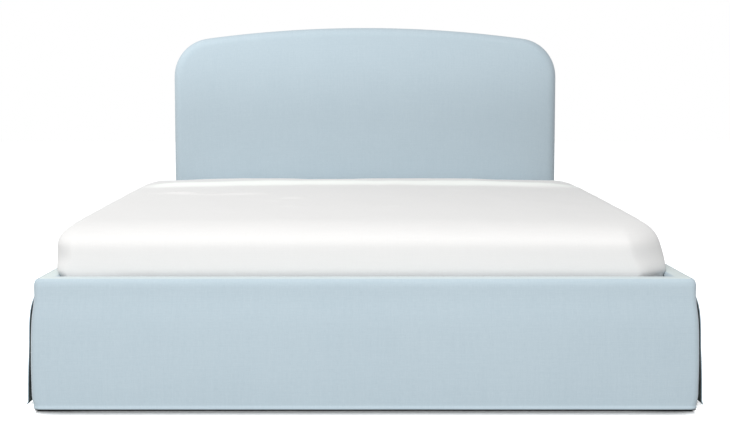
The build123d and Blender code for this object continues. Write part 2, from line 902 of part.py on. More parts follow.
def mattress_ticking():
    """The knitted cover round the foam."""
    inset = sheet_cloth + layer_gap
    return mattress_form(inset) - mattress_form(inset + ticking_cloth)


def mattress_core():
    """The foam inside the ticking, as the firm lower layer and the soft upper one."""
    core = mattress_form(sheet_cloth + layer_gap + ticking_cloth + layer_gap)
    cut = mattress_underside + support_foam_height
    across = (-mattress_width, mattress_width)
    lengthwise = (-mattress_length, mattress_length)
    lower = core & block(across, lengthwise, (0, cut))
    upper = core & block(across, lengthwise, (cut, headboard_height))
    return lower, upper


def main():
    os.makedirs("parts", exist_ok=True)

    side = drilled_for_ledger(side_board())
    save("foot_board", drilled_for_hangers(foot_board()))
    save("left_side_board", both_sides(side))
    save("right_side_board", side)
    save("head_board", drilled_for_hangers(head_board()))

    for part, solids in (("padding", rail_padding()), ("cloth", rail_cloth())):
        foot, left, right = three_rails(solids)
        save(f"foot_rail_{part}", foot)
        save(f"left_rail_{part}", left)
        save(f"right_rail_{part}", right)

    save("skirt_tape", skirt_tape())
    save("foot_skirt", foot_skirt())
    right_skirt = side_skirt()
    save("left_skirt", both_sides(right_skirt))
    save("right_skirt", right_skirt)
    right_pleat = corner_pleat()
    save("left_corner_pleat", both_sides(right_pleat))
    save("right_corner_pleat", right_pleat)

    for name, corner in leg_corners().items():
        save(f"{name}_leg", corner_leg(*corner))
    save("floor_glides", *floor_glides())
    leg_bolts = [shape for place in leg_bolt_places() for shape in bolt_and_washer(*place)]
    save("leg_bolts", *leg_bolts)
    save("t_nuts", *[tnut(*place) for place in leg_bolt_places() + headboard_bolt_places()])

    right_ledger = ledger()
    save("left_ledger", both_sides(right_ledger))
    save("right_ledger", right_ledger)
    save("centre_beam", centre_beam())
    save("beam_hangers", *[hanger(back, inward) for back, inward in hanger_ends()])
    save("wood_screws", *wood_screws())
    for index in range(slat_count):
        save(f"slat_{index + 1:02d}", slat(index))
    save("slat_webbing", *webbing())

    for name, y in zip(("foot", "head"), centre_leg_places()):
        save(f"centre_leg_{name}", centre_leg(y))
        save(f"screw_foot_{name}", screw_foot(y))
    save("leg_inserts", *[leg_insert(y) for y in centre_leg_places()])

    save("headboard_cloth", headboard_cloth())
    save("headboard_foam", headboard_foam())
    save("headboard_spacers", *[headboard_spacer(side) for side in (-1, 1)])
    save("headboard_panel", headboard_panel())
    for name, sign in (("left", -1), ("right", 1)):
        save(f"headboard_{name}_stile", headboard_stile(sign))
    save("headboard_low_crossbar", headboard_crossbar(frame_base()))
    save("headboard_high_crossbar", headboard_crossbar(stile_top() - frame_width))
    save("headboard_back_cloth", headboard_back())
    headboard_bolts = [shape for place in headboard_bolt_places() for shape in bolt_and_washer(*place)]
    save("headboard_bolts", *headboard_bolts)

    lower, upper = mattress_core()
    save("mattress_support_foam", lower)
    save("mattress_comfort_foam", upper)
    save("mattress_ticking", mattress_ticking())
    save("fitted_sheet", fitted_sheet())


main()
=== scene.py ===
import bpy
import math
import numpy as np
from mathutils import Matrix, Vector, noise


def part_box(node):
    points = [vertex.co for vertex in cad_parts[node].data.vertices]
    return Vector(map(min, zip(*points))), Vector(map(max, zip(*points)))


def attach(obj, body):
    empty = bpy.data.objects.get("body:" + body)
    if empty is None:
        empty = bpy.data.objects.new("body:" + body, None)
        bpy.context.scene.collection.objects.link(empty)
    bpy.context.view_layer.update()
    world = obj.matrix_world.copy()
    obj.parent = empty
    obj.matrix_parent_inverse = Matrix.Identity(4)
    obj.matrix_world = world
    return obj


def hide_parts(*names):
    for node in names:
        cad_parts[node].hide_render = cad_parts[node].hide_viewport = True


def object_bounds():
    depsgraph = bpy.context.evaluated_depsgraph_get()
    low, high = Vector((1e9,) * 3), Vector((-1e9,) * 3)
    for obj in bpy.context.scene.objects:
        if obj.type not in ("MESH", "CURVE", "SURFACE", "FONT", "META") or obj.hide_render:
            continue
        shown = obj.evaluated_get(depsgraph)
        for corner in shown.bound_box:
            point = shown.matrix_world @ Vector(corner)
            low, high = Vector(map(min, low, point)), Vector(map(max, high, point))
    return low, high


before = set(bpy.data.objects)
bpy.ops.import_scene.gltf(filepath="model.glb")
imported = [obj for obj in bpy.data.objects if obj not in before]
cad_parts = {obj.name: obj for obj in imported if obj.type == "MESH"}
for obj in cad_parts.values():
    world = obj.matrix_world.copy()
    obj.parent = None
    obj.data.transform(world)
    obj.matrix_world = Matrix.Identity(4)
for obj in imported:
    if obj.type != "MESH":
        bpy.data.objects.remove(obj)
cad_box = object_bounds()
bpy.ops.object.select_all(action="DESELECT")

# The camera.
# It stands on the bed's middle line, a few steps in front of the foot, and looks a little downwards
# over the mattress at the headboard. A small shift keeps the uprights nearly upright.
view_distance = 3.286
view_height = 0.8105
view_tilt = math.radians(4.5)
bpy.ops.object.camera_add(
    location=(0, cad_box[0][1] - view_distance, view_height),
    rotation=(math.radians(90) - view_tilt, 0, 0),
)
camera = bpy.context.object
camera.data.lens = 63.07
camera.data.sensor_width = 36
camera.data.shift_y = -0.0283
bpy.context.scene.camera = camera
bpy.context.scene.view_settings.view_transform = "Standard"

# The studio.
# A white room as the camera sees it, with a dimmer even light on the bed, one broad soft lamp in
# front of it and above, and a small one at the left that catches the headboard's edge.


def wire(tree, kind, inputs, **settings):
    """A new shader node with its settings, and its sockets set to values or linked from other nodes."""
    node = tree.nodes.new(kind)
    for name, value in settings.items():
        setattr(node, name, value)
    for socket, value in inputs.items():
        if isinstance(value, bpy.types.NodeSocket):
            tree.links.new(value, node.inputs[socket])
        else:
            node.inputs[socket].default_value = value
    return node


def math_of(tree, operation, first, second=0.0):
    """The result of one sum on sockets or numbers."""
    return wire(tree, "ShaderNodeMath", {0: first, 1: second}, operation=operation).outputs[0]


def background_rays(tree):
    """One for a ray from the camera, a mirror or glass, and nothing for one that lights a surface."""
    path = tree.nodes.new("ShaderNodeLightPath").outputs
    either = math_of(tree, "MAXIMUM", path["Is Camera Ray"], path["Is Glossy Ray"])
    return math_of(tree, "MAXIMUM", either, path["Is Transmission Ray"])


world = bpy.data.worlds.new("white_room")
bpy.context.scene.world = world
world.use_nodes = True
room = world.node_tree
room.nodes.clear()
seen = wire(room, "ShaderNodeBackground", {"Color": (1, 1, 1, 1), "Strength": 1.0})
shed = wire(room, "ShaderNodeBackground", {"Color": (0.98, 0.99, 1.0, 1), "Strength": 0.355})
chosen = wire(room, "ShaderNodeMixShader", {0: background_rays(room), 1: shed.outputs[0], 2: seen.outputs[0]})
wire(room, "ShaderNodeOutputWorld", {"Surface": chosen.outputs[0]})

for place, aim, size, power in (
    ((-0.60, -5.2, 4.6), (0, -0.2, 0.4), 2.6, 288),
    ((-2.3, 0.3, 2.2), (0.1, 0.95, 0.85), 1.0, 19),
):
    bpy.ops.object.light_add(type="AREA", location=place)
    lamp = bpy.context.object
    lamp.rotation_euler = (Vector(aim) - lamp.location).to_track_quat("-Z", "Y").to_euler()
    lamp.data.shape = "SQUARE"
    lamp.data.size = size
    lamp.data.energy = power
    lamp.data.color = (1.0, 0.995, 0.985)

# The floor.
# A wide white card. The camera sees it bleached, so it shows white wherever much light reaches it,
# and keeps only the deep shadow close under the bed and in front of its foot and head.


def object_place(tree):
    """A point's place in the object, in metres."""
    return tree.nodes.new("ShaderNodeTexCoord").outputs["Object"]


def place_parts(tree):
    """The same place as its X, Y and Z."""
    return wire(tree, "ShaderNodeSeparateXYZ", {"Vector": object_place(tree)}).outputs


def ranged(tree, level, start, end, low=0.0, high=1.0, curve="LINEAR"):
    """A value that goes from low to high while a level goes from start to end."""
    ranges = {"Value": level, "From Min": start, "From Max": end, "To Min": low, "To Max": high}
    return wire(tree, "ShaderNodeMapRange", ranges, interpolation_type=curve).outputs[0]


# The shadow is the open share above a place, to a power. It is darker between the bed's two ends, and
# is gone past its sides.
shade_reach, shade_power = 0.10, 4.7
end_shade, end_from, end_to = 0.4, 1.084, 1.104
side_from, side_to = 0.855, 0.875
bleaching = 3.2
bpy.ops.mesh.primitive_plane_add(size=40, location=(0, 0, 0))
floor = bpy.context.object
floor.name = "floor"
card = bpy.data.materials.new("floor_card")
card.use_nodes = True
card_tree = card.node_tree
card_tree.nodes.clear()
card_plain = wire(card_tree, "ShaderNodeBsdfDiffuse", {"Color": (0.55, 0.55, 0.55, 1)})
card_open = wire(card_tree, "ShaderNodeAmbientOcclusion", {"Distance": shade_reach}, samples=12).outputs["AO"]
card_open = math_of(card_tree, "POWER", card_open, shade_power)
card_parts = place_parts(card_tree)
card_end = math_of(card_tree, "ABSOLUTE", card_parts["Y"])
card_near = ranged(card_tree, card_end, end_from, end_to, end_shade)
card_open = math_of(card_tree, "MULTIPLY", card_open, card_near)
card_side = ranged(card_tree, math_of(card_tree, "ABSOLUTE", card_parts["X"]), side_from, side_to)
card_level = ranged(card_tree, card_side, 0.0, 1.0, card_open)
card_level = math_of(card_tree, "MULTIPLY", card_level, bleaching)
card_channels = {"Red": card_level, "Green": card_level, "Blue": card_level}
card_white = wire(card_tree, "ShaderNodeCombineColor", card_channels).outputs[0]
card_bleached = wire(card_tree, "ShaderNodeBsdfDiffuse", {"Color": card_white})
card_mix = wire(
    card_tree,
    "ShaderNodeMixShader",
    {0: background_rays(card_tree), 1: card_plain.outputs[0], 2: card_bleached.outputs[0]},
)
wire(card_tree, "ShaderNodeOutputMaterial", {"Surface": card_mix.outputs[0]})
floor.data.materials.append(card)

# The boards, legs, slats, ledgers, beam and the headboard's frame.
# Planed pine, left bare, since cloth or the mattress covers all of it. The grain runs along each
# piece's length.


def surfaced(name):
    """A new material, with its main shader and its tree."""
    material = bpy.data.materials.new(name)
    material.use_nodes = True
    return material, material.node_tree.nodes["Principled BSDF"], material.node_tree


def streaks(tree, place, scales, detail=3.0, rough=0.5):
    """Noise drawn out by a different scale along each axis."""
    drawn = wire(tree, "ShaderNodeMapping", {"Vector": place, "Scale": scales})
    return wire(
        tree,
        "ShaderNodeTexNoise",
        {"Vector": drawn.outputs[0], "Scale": 1.0, "Detail": detail, "Roughness": rough},
    ).outputs["Fac"]


def ramp_of(tree, level, *stops):
    """Colours by a level, each stop a place and a colour."""
    ramp = wire(tree, "ShaderNodeValToRGB", {"Fac": level})
    elements = ramp.color_ramp.elements
    while len(elements) < len(stops):
        elements.new(0.5)
    for element, (position, colour) in zip(elements, stops):
        element.position = position
        element.color = (*colour, 1)
    return ramp.outputs["Color"]


def dressed(face, tree, colour, roughness, height, strength, distance):
    """Gives a shader its colour, its roughness, and a fine relief from a height in its pattern."""
    tree.links.new(colour, face.inputs["Base Color"])
    face.inputs["Roughness"].default_value = roughness
    raised = wire(tree, "ShaderNodeBump", {"Height": height, "Strength": strength, "Distance": distance})
    tree.links.new(raised.outputs["Normal"], face.inputs["Normal"])


def planed_wood(name, along, pale, dark, ring, knots):
    """Wood with its grain along one axis: broad rings, fine fibres and a few knots."""
    material, face, tree = surfaced(name)
    place = object_place(tree)
    broad = [ring] * 3
    broad[along] = ring * 0.05
    fibre = [ring * 14] * 3
    fibre[along] = ring * 0.35
    wave = math_of(tree, "SINE", math_of(tree, "MULTIPLY", streaks(tree, place, broad, 2.0), 42.0))
    wave = math_of(tree, "MULTIPLY", wave, 0.22)
    fine = streaks(tree, place, fibre, 4.0)
    level = math_of(tree, "ADD", math_of(tree, "MULTIPLY", fine, 0.6), math_of(tree, "ADD", wave, 0.2))
    spots = [6.0] * 3
    spots[along] = 2.2
    sparse = wire(tree, "ShaderNodeMapping", {"Vector": place, "Scale": spots})
    knot = wire(tree, "ShaderNodeTexVoronoi", {"Vector": sparse.outputs[0], "Scale": 1.0}).outputs["Distance"]
    knot = math_of(tree, "MULTIPLY", math_of(tree, "SUBTRACT", 1.0, ranged(tree, knot, 0.03, 0.10)), knots)
    level = math_of(tree, "SUBTRACT", level, knot)
    colour = ramp_of(tree, level, (0.0, tuple(c * 0.45 for c in dark)), (0.25, dark), (0.72, pale))
    dressed(face, tree, colour, roughness=0.62, height=fine, strength=0.25, distance=0.0005)
    face.inputs["Specular IOR Level"].default_value = 0.35
    return material


def finish_nodes(material, *names):
    """Gives CAD pieces one material."""
    for name in names:
        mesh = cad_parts[name].data
        mesh.materials.clear()
        mesh.materials.append(material)


pine_pale, pine_dark = (0.66, 0.47, 0.27), (0.45, 0.27, 0.12)
pine_across, pine_length, pine_upright = (
    planed_wood(f"pine_{name}", axis, pine_pale, pine_dark, ring=9.0, knots=0.5)
    for axis, name in enumerate(("across", "lengthwise", "upright"))
)
slat_names = [f"slat_{number:02d}" for number in range(1, 13)]
finish_nodes(pine_across, "foot_board", "head_board", *slat_names)
finish_nodes(pine_across, "headboard_low_crossbar", "headboard_high_crossbar")
finish_nodes(pine_length, "left_side_board", "right_side_board", "left_ledger", "right_ledger", "centre_beam")
finish_nodes(
    pine_upright,
    *(f"{place}_leg" for place in ("foot_left", "foot_right", "head_left", "head_right")),
    "centre_leg_foot",
    "centre_leg_head",
    "headboard_spacers",
    "headboard_left_stile",
    "headboard_right_stile",
)

# The headboard's panel.
# Birch plywood, sanded, cut to the headboard's arch. It lies in front of the stiles and the cross
# timbers and carries the foam.
birch, birch_face, birch_tree = surfaced("birch_plywood")
birch_place = object_place(birch_tree)
birch_fibre = streaks(birch_tree, birch_place, (5.0, 60.0, 130.0), 4.0)
birch_cloud = streaks(birch_tree, birch_place, (1.2, 20.0, 9.0), 3.0)
birch_level = math_of(
    birch_tree,
    "ADD",
    math_of(birch_tree, "MULTIPLY", birch_fibre, 0.4),
    math_of(birch_tree, "MULTIPLY", birch_cloud, 0.6),
)
birch_colour = ramp_of(birch_tree, birch_level, (0.3, (0.52, 0.37, 0.21)), (0.7, (0.70, 0.54, 0.34)))
dressed(
    birch_face, birch_tree, birch_colour, roughness=0.55, height=birch_fibre, strength=0.2, distance=0.0004
)
finish_nodes(birch, "headboard_panel")

# The bolts, T-nuts, beam hangers, screws and inserts.
# Zinc-plated steel, bright but clouded where the plating varies.
zinc, zinc_face, zinc_tree = surfaced("zinc_plate")
zinc_cloud = streaks(zinc_tree, object_place(zinc_tree), (90.0, 90.0, 90.0), 5.0, 0.6)
zinc_colour = ramp_of(zinc_tree, zinc_cloud, (0.3, (0.50, 0.52, 0.54)), (0.7, (0.72, 0.73, 0.74)))
zinc_tree.links.new(zinc_colour, zinc_face.inputs["Base Color"])
zinc_tree.links.new(ranged(zinc_tree, zinc_cloud, 0.0, 1.0, 0.28, 0.5), zinc_face.inputs["Roughness"])
zinc_face.inputs["Metallic"].default_value = 1.0
finish_nodes(zinc, "leg_bolts", "t_nuts", "beam_hangers", "wood_screws", "leg_inserts", "headboard_bolts")

# The glides and the screw feet.
# Moulded black polyethylene, faintly pitted. The glides are nailed under the corner legs and the
# headboard's stiles, and the screw feet turn in the centre legs' inserts.
glide, glide_face, glide_tree = surfaced("glide_plastic")
glide_pits = streaks(glide_tree, object_place(glide_tree), (900.0, 900.0, 900.0), 2.0)
glide_colour = ramp_of(glide_tree, glide_pits, (0.3, (0.012, 0.012, 0.013)), (0.7, (0.030, 0.030, 0.032)))
dressed(glide_face, glide_tree, glide_colour, roughness=0.5, height=glide_pits, strength=0.3, distance=0.0003)
finish_nodes(glide, "floor_glides", "screw_foot_foot", "screw_foot_head")

# The tape that holds the skirt up.
# Nylon hook and loop tape, pale blue-grey, stapled round the rails under the skirt's top edge.
hooks, hooks_face, hooks_tree = surfaced("hook_tape")
hooks_sites = {"Vector": object_place(hooks_tree), "Scale": 700.0}
hooks_tuft = wire(hooks_tree, "ShaderNodeTexVoronoi", hooks_sites).outputs["Distance"]
hooks_colour = ramp_of(hooks_tree, hooks_tuft, (0.1, (0.42, 0.49, 0.54)), (0.8, (0.56, 0.63, 0.69)))
dressed(hooks_face, hooks_tree, hooks_colour, roughness=0.8, height=hooks_tuft, strength=0.6, distance=0.0006)
finish_nodes(hooks, "skirt_tape")

# The rail covers.
# Foam over the boards' top and outside under pale blue flat-woven cloth. The cloth is mitred and
# stitched at the foot corners and stapled inside the boards and under them. Its top has a painted highlight.


def flat_weave(name, pale, shade, yarn, slub, mottle, bump, sheen=0.1):
    """A flat-woven cloth on the piece's own UV map, which is in metres."""
    material, face, tree = surfaced(name)
    place = tree.nodes.new("ShaderNodeTexCoord").outputs["UV"]
    warp = streaks(tree, place, (1 / yarn, slub, 1.0), 2.0)
    weft = streaks(tree, place, (slub, 1 / yarn, 1.0), 2.0)
    weave = math_of(tree, "MULTIPLY", math_of(tree, "ADD", warp, weft), 0.5)
    long_warp = streaks(tree, place, (240.0, 9.0, 1.0), 1.0)
    long_weft = streaks(tree, place, (9.0, 240.0, 1.0), 1.0)
    slubs = math_of(tree, "SUBTRACT", math_of(tree, "ADD", long_warp, long_weft), 1.0)
    slubs = math_of(tree, "MULTIPLY", slubs, 0.22)
    cloud = streaks(tree, object_place(tree), (5.0, 5.0, 5.0), 3.0)
    cloud = math_of(tree, "MULTIPLY", math_of(tree, "SUBTRACT", cloud, 0.5), mottle)
    level = math_of(tree, "ADD", math_of(tree, "ADD", weave, slubs), cloud)
    colour = ramp_of(tree, level, (0.25, shade), (0.75, pale))
    dressed(face, tree, colour, roughness=0.92, height=weave, strength=bump, distance=0.0006)
    face.inputs["Sheen Weight"].default_value = sheen
    face.inputs["Sheen Roughness"].default_value = 0.5
    face.inputs["Specular IOR Level"].default_value = 0.2
    return material


blue_pale, blue_shade = (0.57, 0.675, 0.74), (0.49, 0.60, 0.67)
upholstery = flat_weave(
    "upholstery", blue_pale, blue_shade, yarn=0.0011, slub=60.0, mottle=0.16, bump=0.35, sheen=0.4
)


def only(*pieces):
    """Selects these pieces alone, the first one active."""
    bpy.ops.object.select_all(action="DESELECT")
    for piece in pieces:
        piece.select_set(True)
    bpy.context.view_layer.objects.active = pieces[0]


def cloth_grid(name, rows, closed=False):
    """A surface through equal rows of points, with a UV map in metres.

    Rows that run to the right and follow each other upwards face the viewer."""
    grid = np.array(rows, dtype=float)
    if closed:
        grid = np.concatenate([grid, grid[:, :1]], axis=1)
    high, wide = grid.shape[:2]
    along = np.concatenate([[0], np.cumsum(np.linalg.norm(np.diff(grid[high // 2], axis=0), axis=1))])
    across = np.concatenate([[0], np.cumsum(np.linalg.norm(np.diff(grid[:, wide // 3], axis=0), axis=1))])
    faces = [
        (r * wide + c, r * wide + c + 1, (r + 1) * wide + c + 1, (r + 1) * wide + c)
        for r in range(high - 1)
        for c in range(wide - 1)
    ]
    mesh = bpy.data.meshes.new(name)
    mesh.from_pydata(grid.reshape(-1, 3).tolist(), [], faces)
    piece = bpy.data.objects.new(name, mesh)
    bpy.context.scene.collection.objects.link(piece)
    layer = mesh.uv_layers.new(name="cloth")
    for polygon in mesh.polygons:
        for loop in polygon.loop_indices:
            vertex = mesh.loops[loop].vertex_index
            layer.data[loop].uv = (along[vertex % wide], across[vertex // wide])
    return piece


def sewn(*pieces, capped=False, turned=True):
    """Joins pieces along their shared edges into the first, closes its ends and faces it outwards."""
    only(*pieces)
    if len(pieces) > 1:
        bpy.ops.object.join()
    bpy.ops.object.mode_set(mode="EDIT")
    bpy.ops.mesh.select_all(action="SELECT")
    bpy.ops.mesh.remove_doubles(threshold=0.00005)
    if capped:
        bpy.ops.mesh.fill_holes(sides=0)
        bpy.ops.mesh.select_all(action="SELECT")
    if turned:
        bpy.ops.mesh.normals_make_consistent(inside=False)
    bpy.ops.object.mode_set(mode="OBJECT")
    return pieces[0]


def ripple(a, b, size, seed):
    """A smooth height at a place on a cloth, from about minus one to one, with swells of a size."""
    return noise.noise(Vector((a / size, b / size, seed)))


def quarter(centre, radius, start, steps):
    """Points on a quarter circle from an angle, in degrees, anticlockwise."""
    angles = np.radians(start + 90 * np.arange(steps + 1) / steps)
    return [(centre[0] + radius * math.cos(a), centre[1] + radius * math.sin(a)) for a in angles]


def woven_in(cloth):
    """A cloth's tree, the socket of its colour, and the woven colour that goes into it."""
    base = cloth.node_tree.nodes["Principled BSDF"].inputs["Base Color"]
    return cloth.node_tree, base, base.links[0].from_socket


def blended(tree, share, first, second):
    """A colour that goes from the first to the second by a share."""
    return wire(tree, "ShaderNodeMix", {0: share, 6: first, 7: (*second, 1)}, data_type="RGBA").outputs[2]


rail_low, rail_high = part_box("foot_rail_cloth")
side_rail_low, side_rail_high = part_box("right_rail_cloth")
opening_half = side_rail_low.x
rail_width = side_rail_high.x - opening_half
rail_middle = 0.024
opening_foot = rail_low.y + rail_width
rail_rear = side_rail_high.y
rail_top = rail_high.z
rail_bottom = rail_low.z
flap_bottom = 0.278
cloth_step = 0.0022
under_round = 0.003
edge_round = 0.012
plan_round = 0.0124
rear_round = 0.006
rail_turn = rail_width - plan_round
padded_from = 0.3
seam_depth, seam_width, seam_fan = 0.0011, 0.005, 0.01
slack_from, slack_rise, slack_size = rail_top - 0.004, 0.0006, 0.25
mitre_steps, rear_steps = 4, 5

# The cloth with a painted highlight: paler on top of the rails, and more so on the side rails than on the
# foot rail.
rail_top_painted_highlight = (0.74, 0.82, 0.81)
highlight_from, highlight_to = rail_top - 0.0036, rail_top - 0.0006
foot_highlight, side_highlight = 0.6, 0.95
foot_highlight_to, side_highlight_from = 0.79, 0.84
# Painted highlight: the woven colour is blended towards a pale colour on the rails' tops.
rail_cloth = upholstery.copy()
rail_cloth.name = "upholstery_painted_highlight"
rail_tree, rail_base, rail_woven = woven_in(rail_cloth)
rail_parts = place_parts(rail_tree)
rail_side = math_of(rail_tree, "ABSOLUTE", rail_parts["X"])
rail_most = ranged(rail_tree, rail_side, foot_highlight_to, side_highlight_from, foot_highlight, side_highlight)
rail_highlight_share = ranged(
    rail_tree, rail_parts["Z"], highlight_from, highlight_to, low=0.0, high=rail_most, curve="SMOOTHSTEP"
)
rail_tree.links.new(blended(rail_tree, rail_highlight_share, rail_woven, rail_top_painted_highlight), rail_base)

# A cover's section, each point its distance out from the opening and its height: under the board, up
# its outside, over the top and down its inside.
under_board = rail_bottom - 0.0012
rail_section = [(cloth_step, under_board), (0.020, under_board), (0.038, under_board)]
rail_section += quarter((rail_width - under_round, under_board + under_round), under_round, 270, 3)
for swell, height in ((0, 0.13), (0.0003, 0.18), (0.0004, 0.23), (0.0003, 0.28), (0, 0.31)):
    rail_section.append((rail_width + swell, height))
rail_section += quarter((rail_width - edge_round, rail_top - edge_round), edge_round, 0, 6)
rail_section += [(0.030, rail_top + 0.0006), (rail_middle, rail_top + 0.0008), (0.018, rail_top + 0.0006)]
rail_section += quarter((edge_round, rail_top - edge_round), edge_round, 90, 6)
rail_section += [(0, 0.315), (0, 0.295), (0, flap_bottom + 0.0008), (0.0006, flap_bottom)]
rail_section += [(cloth_step, height) for height in (flap_bottom, 0.24, 0.19, 0.14)]


def rail_plan(outwards, share, turn_share):
    """A place on the foot rail's right half: out from the opening, along to the corner, and round it."""
    x = (opening_half + min(outwards, rail_turn)) * share
    if share < 1 or outwards <= rail_turn:
        return x, opening_foot - outwards
    angle = math.radians(45) * turn_share
    reach = outwards - rail_turn
    return x + reach * math.sin(angle), opening_foot - rail_turn - reach * math.cos(angle)


def lifted_top(height, along, away, seed):
    """A cover's height with its slack on top, and drawn in near the mitre's seam."""
    dip = seam_depth * math.exp(-((away / seam_width) ** 2)) if height > padded_from else 0.0
    swell = slack_rise * ripple(along, height, slack_size, seed) if height > slack_from else 0.0
    return height - dip + swell


# Places from the foot rail's middle to its mitre, closer together near it, and round the corner there.
straight_shares = list(np.linspace(0, 0.15, 4)) + list(np.linspace(0.2, 0.86, 12))
straight_shares += [0.91, 0.95, 0.972, 0.985, 0.991, 0.9955, 1.0]
stations = [(share, 0.0) for share in straight_shares]
stations += [(1.0, turned / mitre_steps) for turned in range(1, mitre_steps + 1)]


def foot_rail_rows():
    """The foot rail from mitre to mitre, its left half like its right."""
    rows = []
    for outwards, height in rail_section:
        half = []
        for share, turned in stations:
            x, y = rail_plan(outwards, share, turned)
            away = abs(opening_half + min(outwards, rail_turn) - x)
            if outwards > rail_turn:
                away = (1 - turned) * seam_fan + abs(opening_half + rail_turn - x) * (share < 1)
            half.append((x, y, lifted_top(height, x, away, 3.0)))
        rows.append([(-x, y, z) for x, y, z in reversed(half)] + half[1:])
    return rows + [rows[0]]


def side_rail_rows():
    """The right rail, from the mitre to its rear end, where the cover closes over the board."""
    rows = []
    lengths = [0, 0.004, 0.008, 0.014, 0.024, 0.045, 0.08] + list(np.linspace(0.14, 1.94, 31))
    rear_start = rail_rear - rear_round
    for outwards, height in rail_section:
        row = []
        for turned in range(mitre_steps, 0, -1):
            if outwards > rail_turn:
                angle = math.radians(45) * turned / mitre_steps
                reach = outwards - rail_turn
                x = opening_half + rail_turn + reach * math.cos(angle)
                row.append((x, opening_foot - rail_turn - reach * math.sin(angle)))
            else:
                row.append((opening_half + outwards, opening_foot - outwards))
        start = opening_foot - min(outwards, rail_turn)
        row += [(opening_half + outwards, start + length) for length in lengths]
        for angle in [math.radians(90) * drawn / rear_steps for drawn in range(rear_steps + 1)]:
            inset = rear_round * (1 - math.cos(angle))
            x = opening_half + outwards + (inset if outwards < rail_middle else -inset)
            row.append((x, rear_start + rear_round * math.sin(angle)))
        points = []
        for index, (x, y) in enumerate(row):
            turning = index < mitre_steps and outwards > rail_turn
            away = (1 - index / mitre_steps) * seam_fan if turning else y - start
            closing = max(0, (y - rear_start) / rear_round)
            drop = rear_round * (1 - math.sqrt(max(0, 1 - closing ** 2))) if height > padded_from else 0.0
            points.append((x, y, lifted_top(height, y, abs(away), 4.0) - drop))
        rows.append(points)
    return rows + [rows[0]]


def cut_out(piece, low, high):
    """Takes a box between two corners out of a piece."""
    bpy.ops.object.select_all(action="DESELECT")
    bpy.ops.mesh.primitive_cube_add(size=1, location=[(a + b) / 2 for a, b in zip(low, high)])
    cutter = bpy.context.object
    cutter.scale = [b - a for a, b in zip(low, high)]
    bpy.ops.object.transform_apply(location=False, rotation=False, scale=True)
    only(piece)
    cut = piece.modifiers.new("cut", "BOOLEAN")
    cut.operation = "DIFFERENCE"
    cut.solver = "EXACT"
    cut.object = cutter
    bpy.ops.object.modifier_apply(modifier="cut")
    bpy.data.objects.remove(cutter, do_unlink=True)


# The room for the boards, a hair larger than they are, and the opening between the flaps below them.
board_room = 0.0003
foot_low, foot_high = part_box("foot_board")
side_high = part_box("right_side_board")[1]
board_out, board_rear = side_high.x + board_room, side_high.y + board_room
board_front, board_back = foot_low.y - board_room, foot_high.y + board_room
board_bottom, board_top = foot_low.z - board_room, foot_high.z + board_room
under_flap, under_from, overlap = 0.015, 0.05, 0.01
flap_room = 0.0002


def covered_rail(name, rows, side):
    """A rail's cover and its foam as one padded piece, with room for the boards cut out of it."""
    piece = sewn(cloth_grid(name, rows), capped=True)
    inner = opening_half + cloth_step - flap_room
    under_low = (-board_out + under_flap, board_front + under_flap, under_from)
    under_high = (board_out - under_flap, board_rear, board_bottom + overlap)
    for low, high in (
        ((-board_out, board_front, board_bottom), (board_out, board_back, board_top)),
        ((inner, board_front, board_bottom), (board_out, board_rear, board_top)),
        ((-board_out, board_front, board_bottom), (-inner, board_rear, board_top)),
        (under_low, under_high),
    ):
        cut_out(piece, low, high)
    piece.data.materials.append(rail_cloth)
    only(piece)
    bpy.ops.object.shade_smooth_by_angle(angle=math.radians(40))
    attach(piece, "frame")
    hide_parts(f"{side}_rail_cloth", f"{side}_rail_padding")


def other_side(rows):
    """Rows on the left, from those on the right, still facing outwards."""
    return [[(-x, y, z) for x, y, z in reversed(row)] for row in rows]


covered_rail("foot_rail_cover", foot_rail_rows(), "foot")
right_rail = side_rail_rows()
covered_rail("right_rail_cover", right_rail, "right")
covered_rail("left_rail_cover", other_side(right_rail), "left")

# The skirt.
# Pale blue cloth with a dark lining, which hangs from the tape to just above the floor: one piece across
# the foot, which wraps both corners, and one along each side, open at the kick pleats. The lining's dark
# colour is partly painted shade.


def thickened(piece, thickness, back=None):
    """Gives a cloth piece its thickness, inwards from its face, and another cloth on its back."""
    only(piece)
    thick = piece.modifiers.new("thick", "SOLIDIFY")
    thick.thickness = thickness
    thick.offset = -1.0
    thick.use_even_offset = True
    if back:
        piece.data.materials.append(back)
        thick.material_offset = 1
    bpy.ops.object.modifier_apply(modifier="thick")


def finished(piece, material, thickness=0.0, soft_levels=1, back=None):
    """Gives a piece its cloth, smooths it, and thickens it where a thickness is given."""
    only(piece)
    piece.data.materials.append(material)
    if soft_levels:
        soft = piece.modifiers.new("soft", "SUBSURF")
        soft.levels = soft.render_levels = soft_levels
        bpy.ops.object.modifier_apply(modifier="soft")
    if thickness:
        thickened(piece, thickness, back)
    bpy.ops.object.shade_smooth_by_angle(angle=math.radians(50))
    return piece


def eased(at, places, values):
    """A smooth curve through a table of values."""
    at = np.asarray(at, dtype=float)
    places, values = np.array(places, dtype=float), np.array(values, dtype=float)
    steps = np.diff(places)
    rises = np.diff(values) / steps
    slopes = np.concatenate(
        [rises[:1], (rises[1:] * steps[:-1] + rises[:-1] * steps[1:]) / (steps[1:] + steps[:-1]), rises[-1:]]
    )
    index = np.clip(np.searchsorted(places, at) - 1, 0, len(steps) - 1)
    t = (at - places[index]) / steps[index]
    start, end = values[index], values[index + 1]
    return (
        (1 + 2 * t) * (1 - t) ** 2 * start
        + t * (1 - t) ** 2 * steps[index] * slopes[index]
        + t ** 2 * (3 - 2 * t) * end
        + t ** 2 * (t - 1) * steps[index] * slopes[index + 1]
    )


def within(share):
    """A share kept between nothing and all."""
    return min(1.0, max(0.0, share))


def smooth_share(share):
    """A share kept between nothing and all, with soft ends."""
    share = within(share)
    return share * share * (3 - 2 * share)
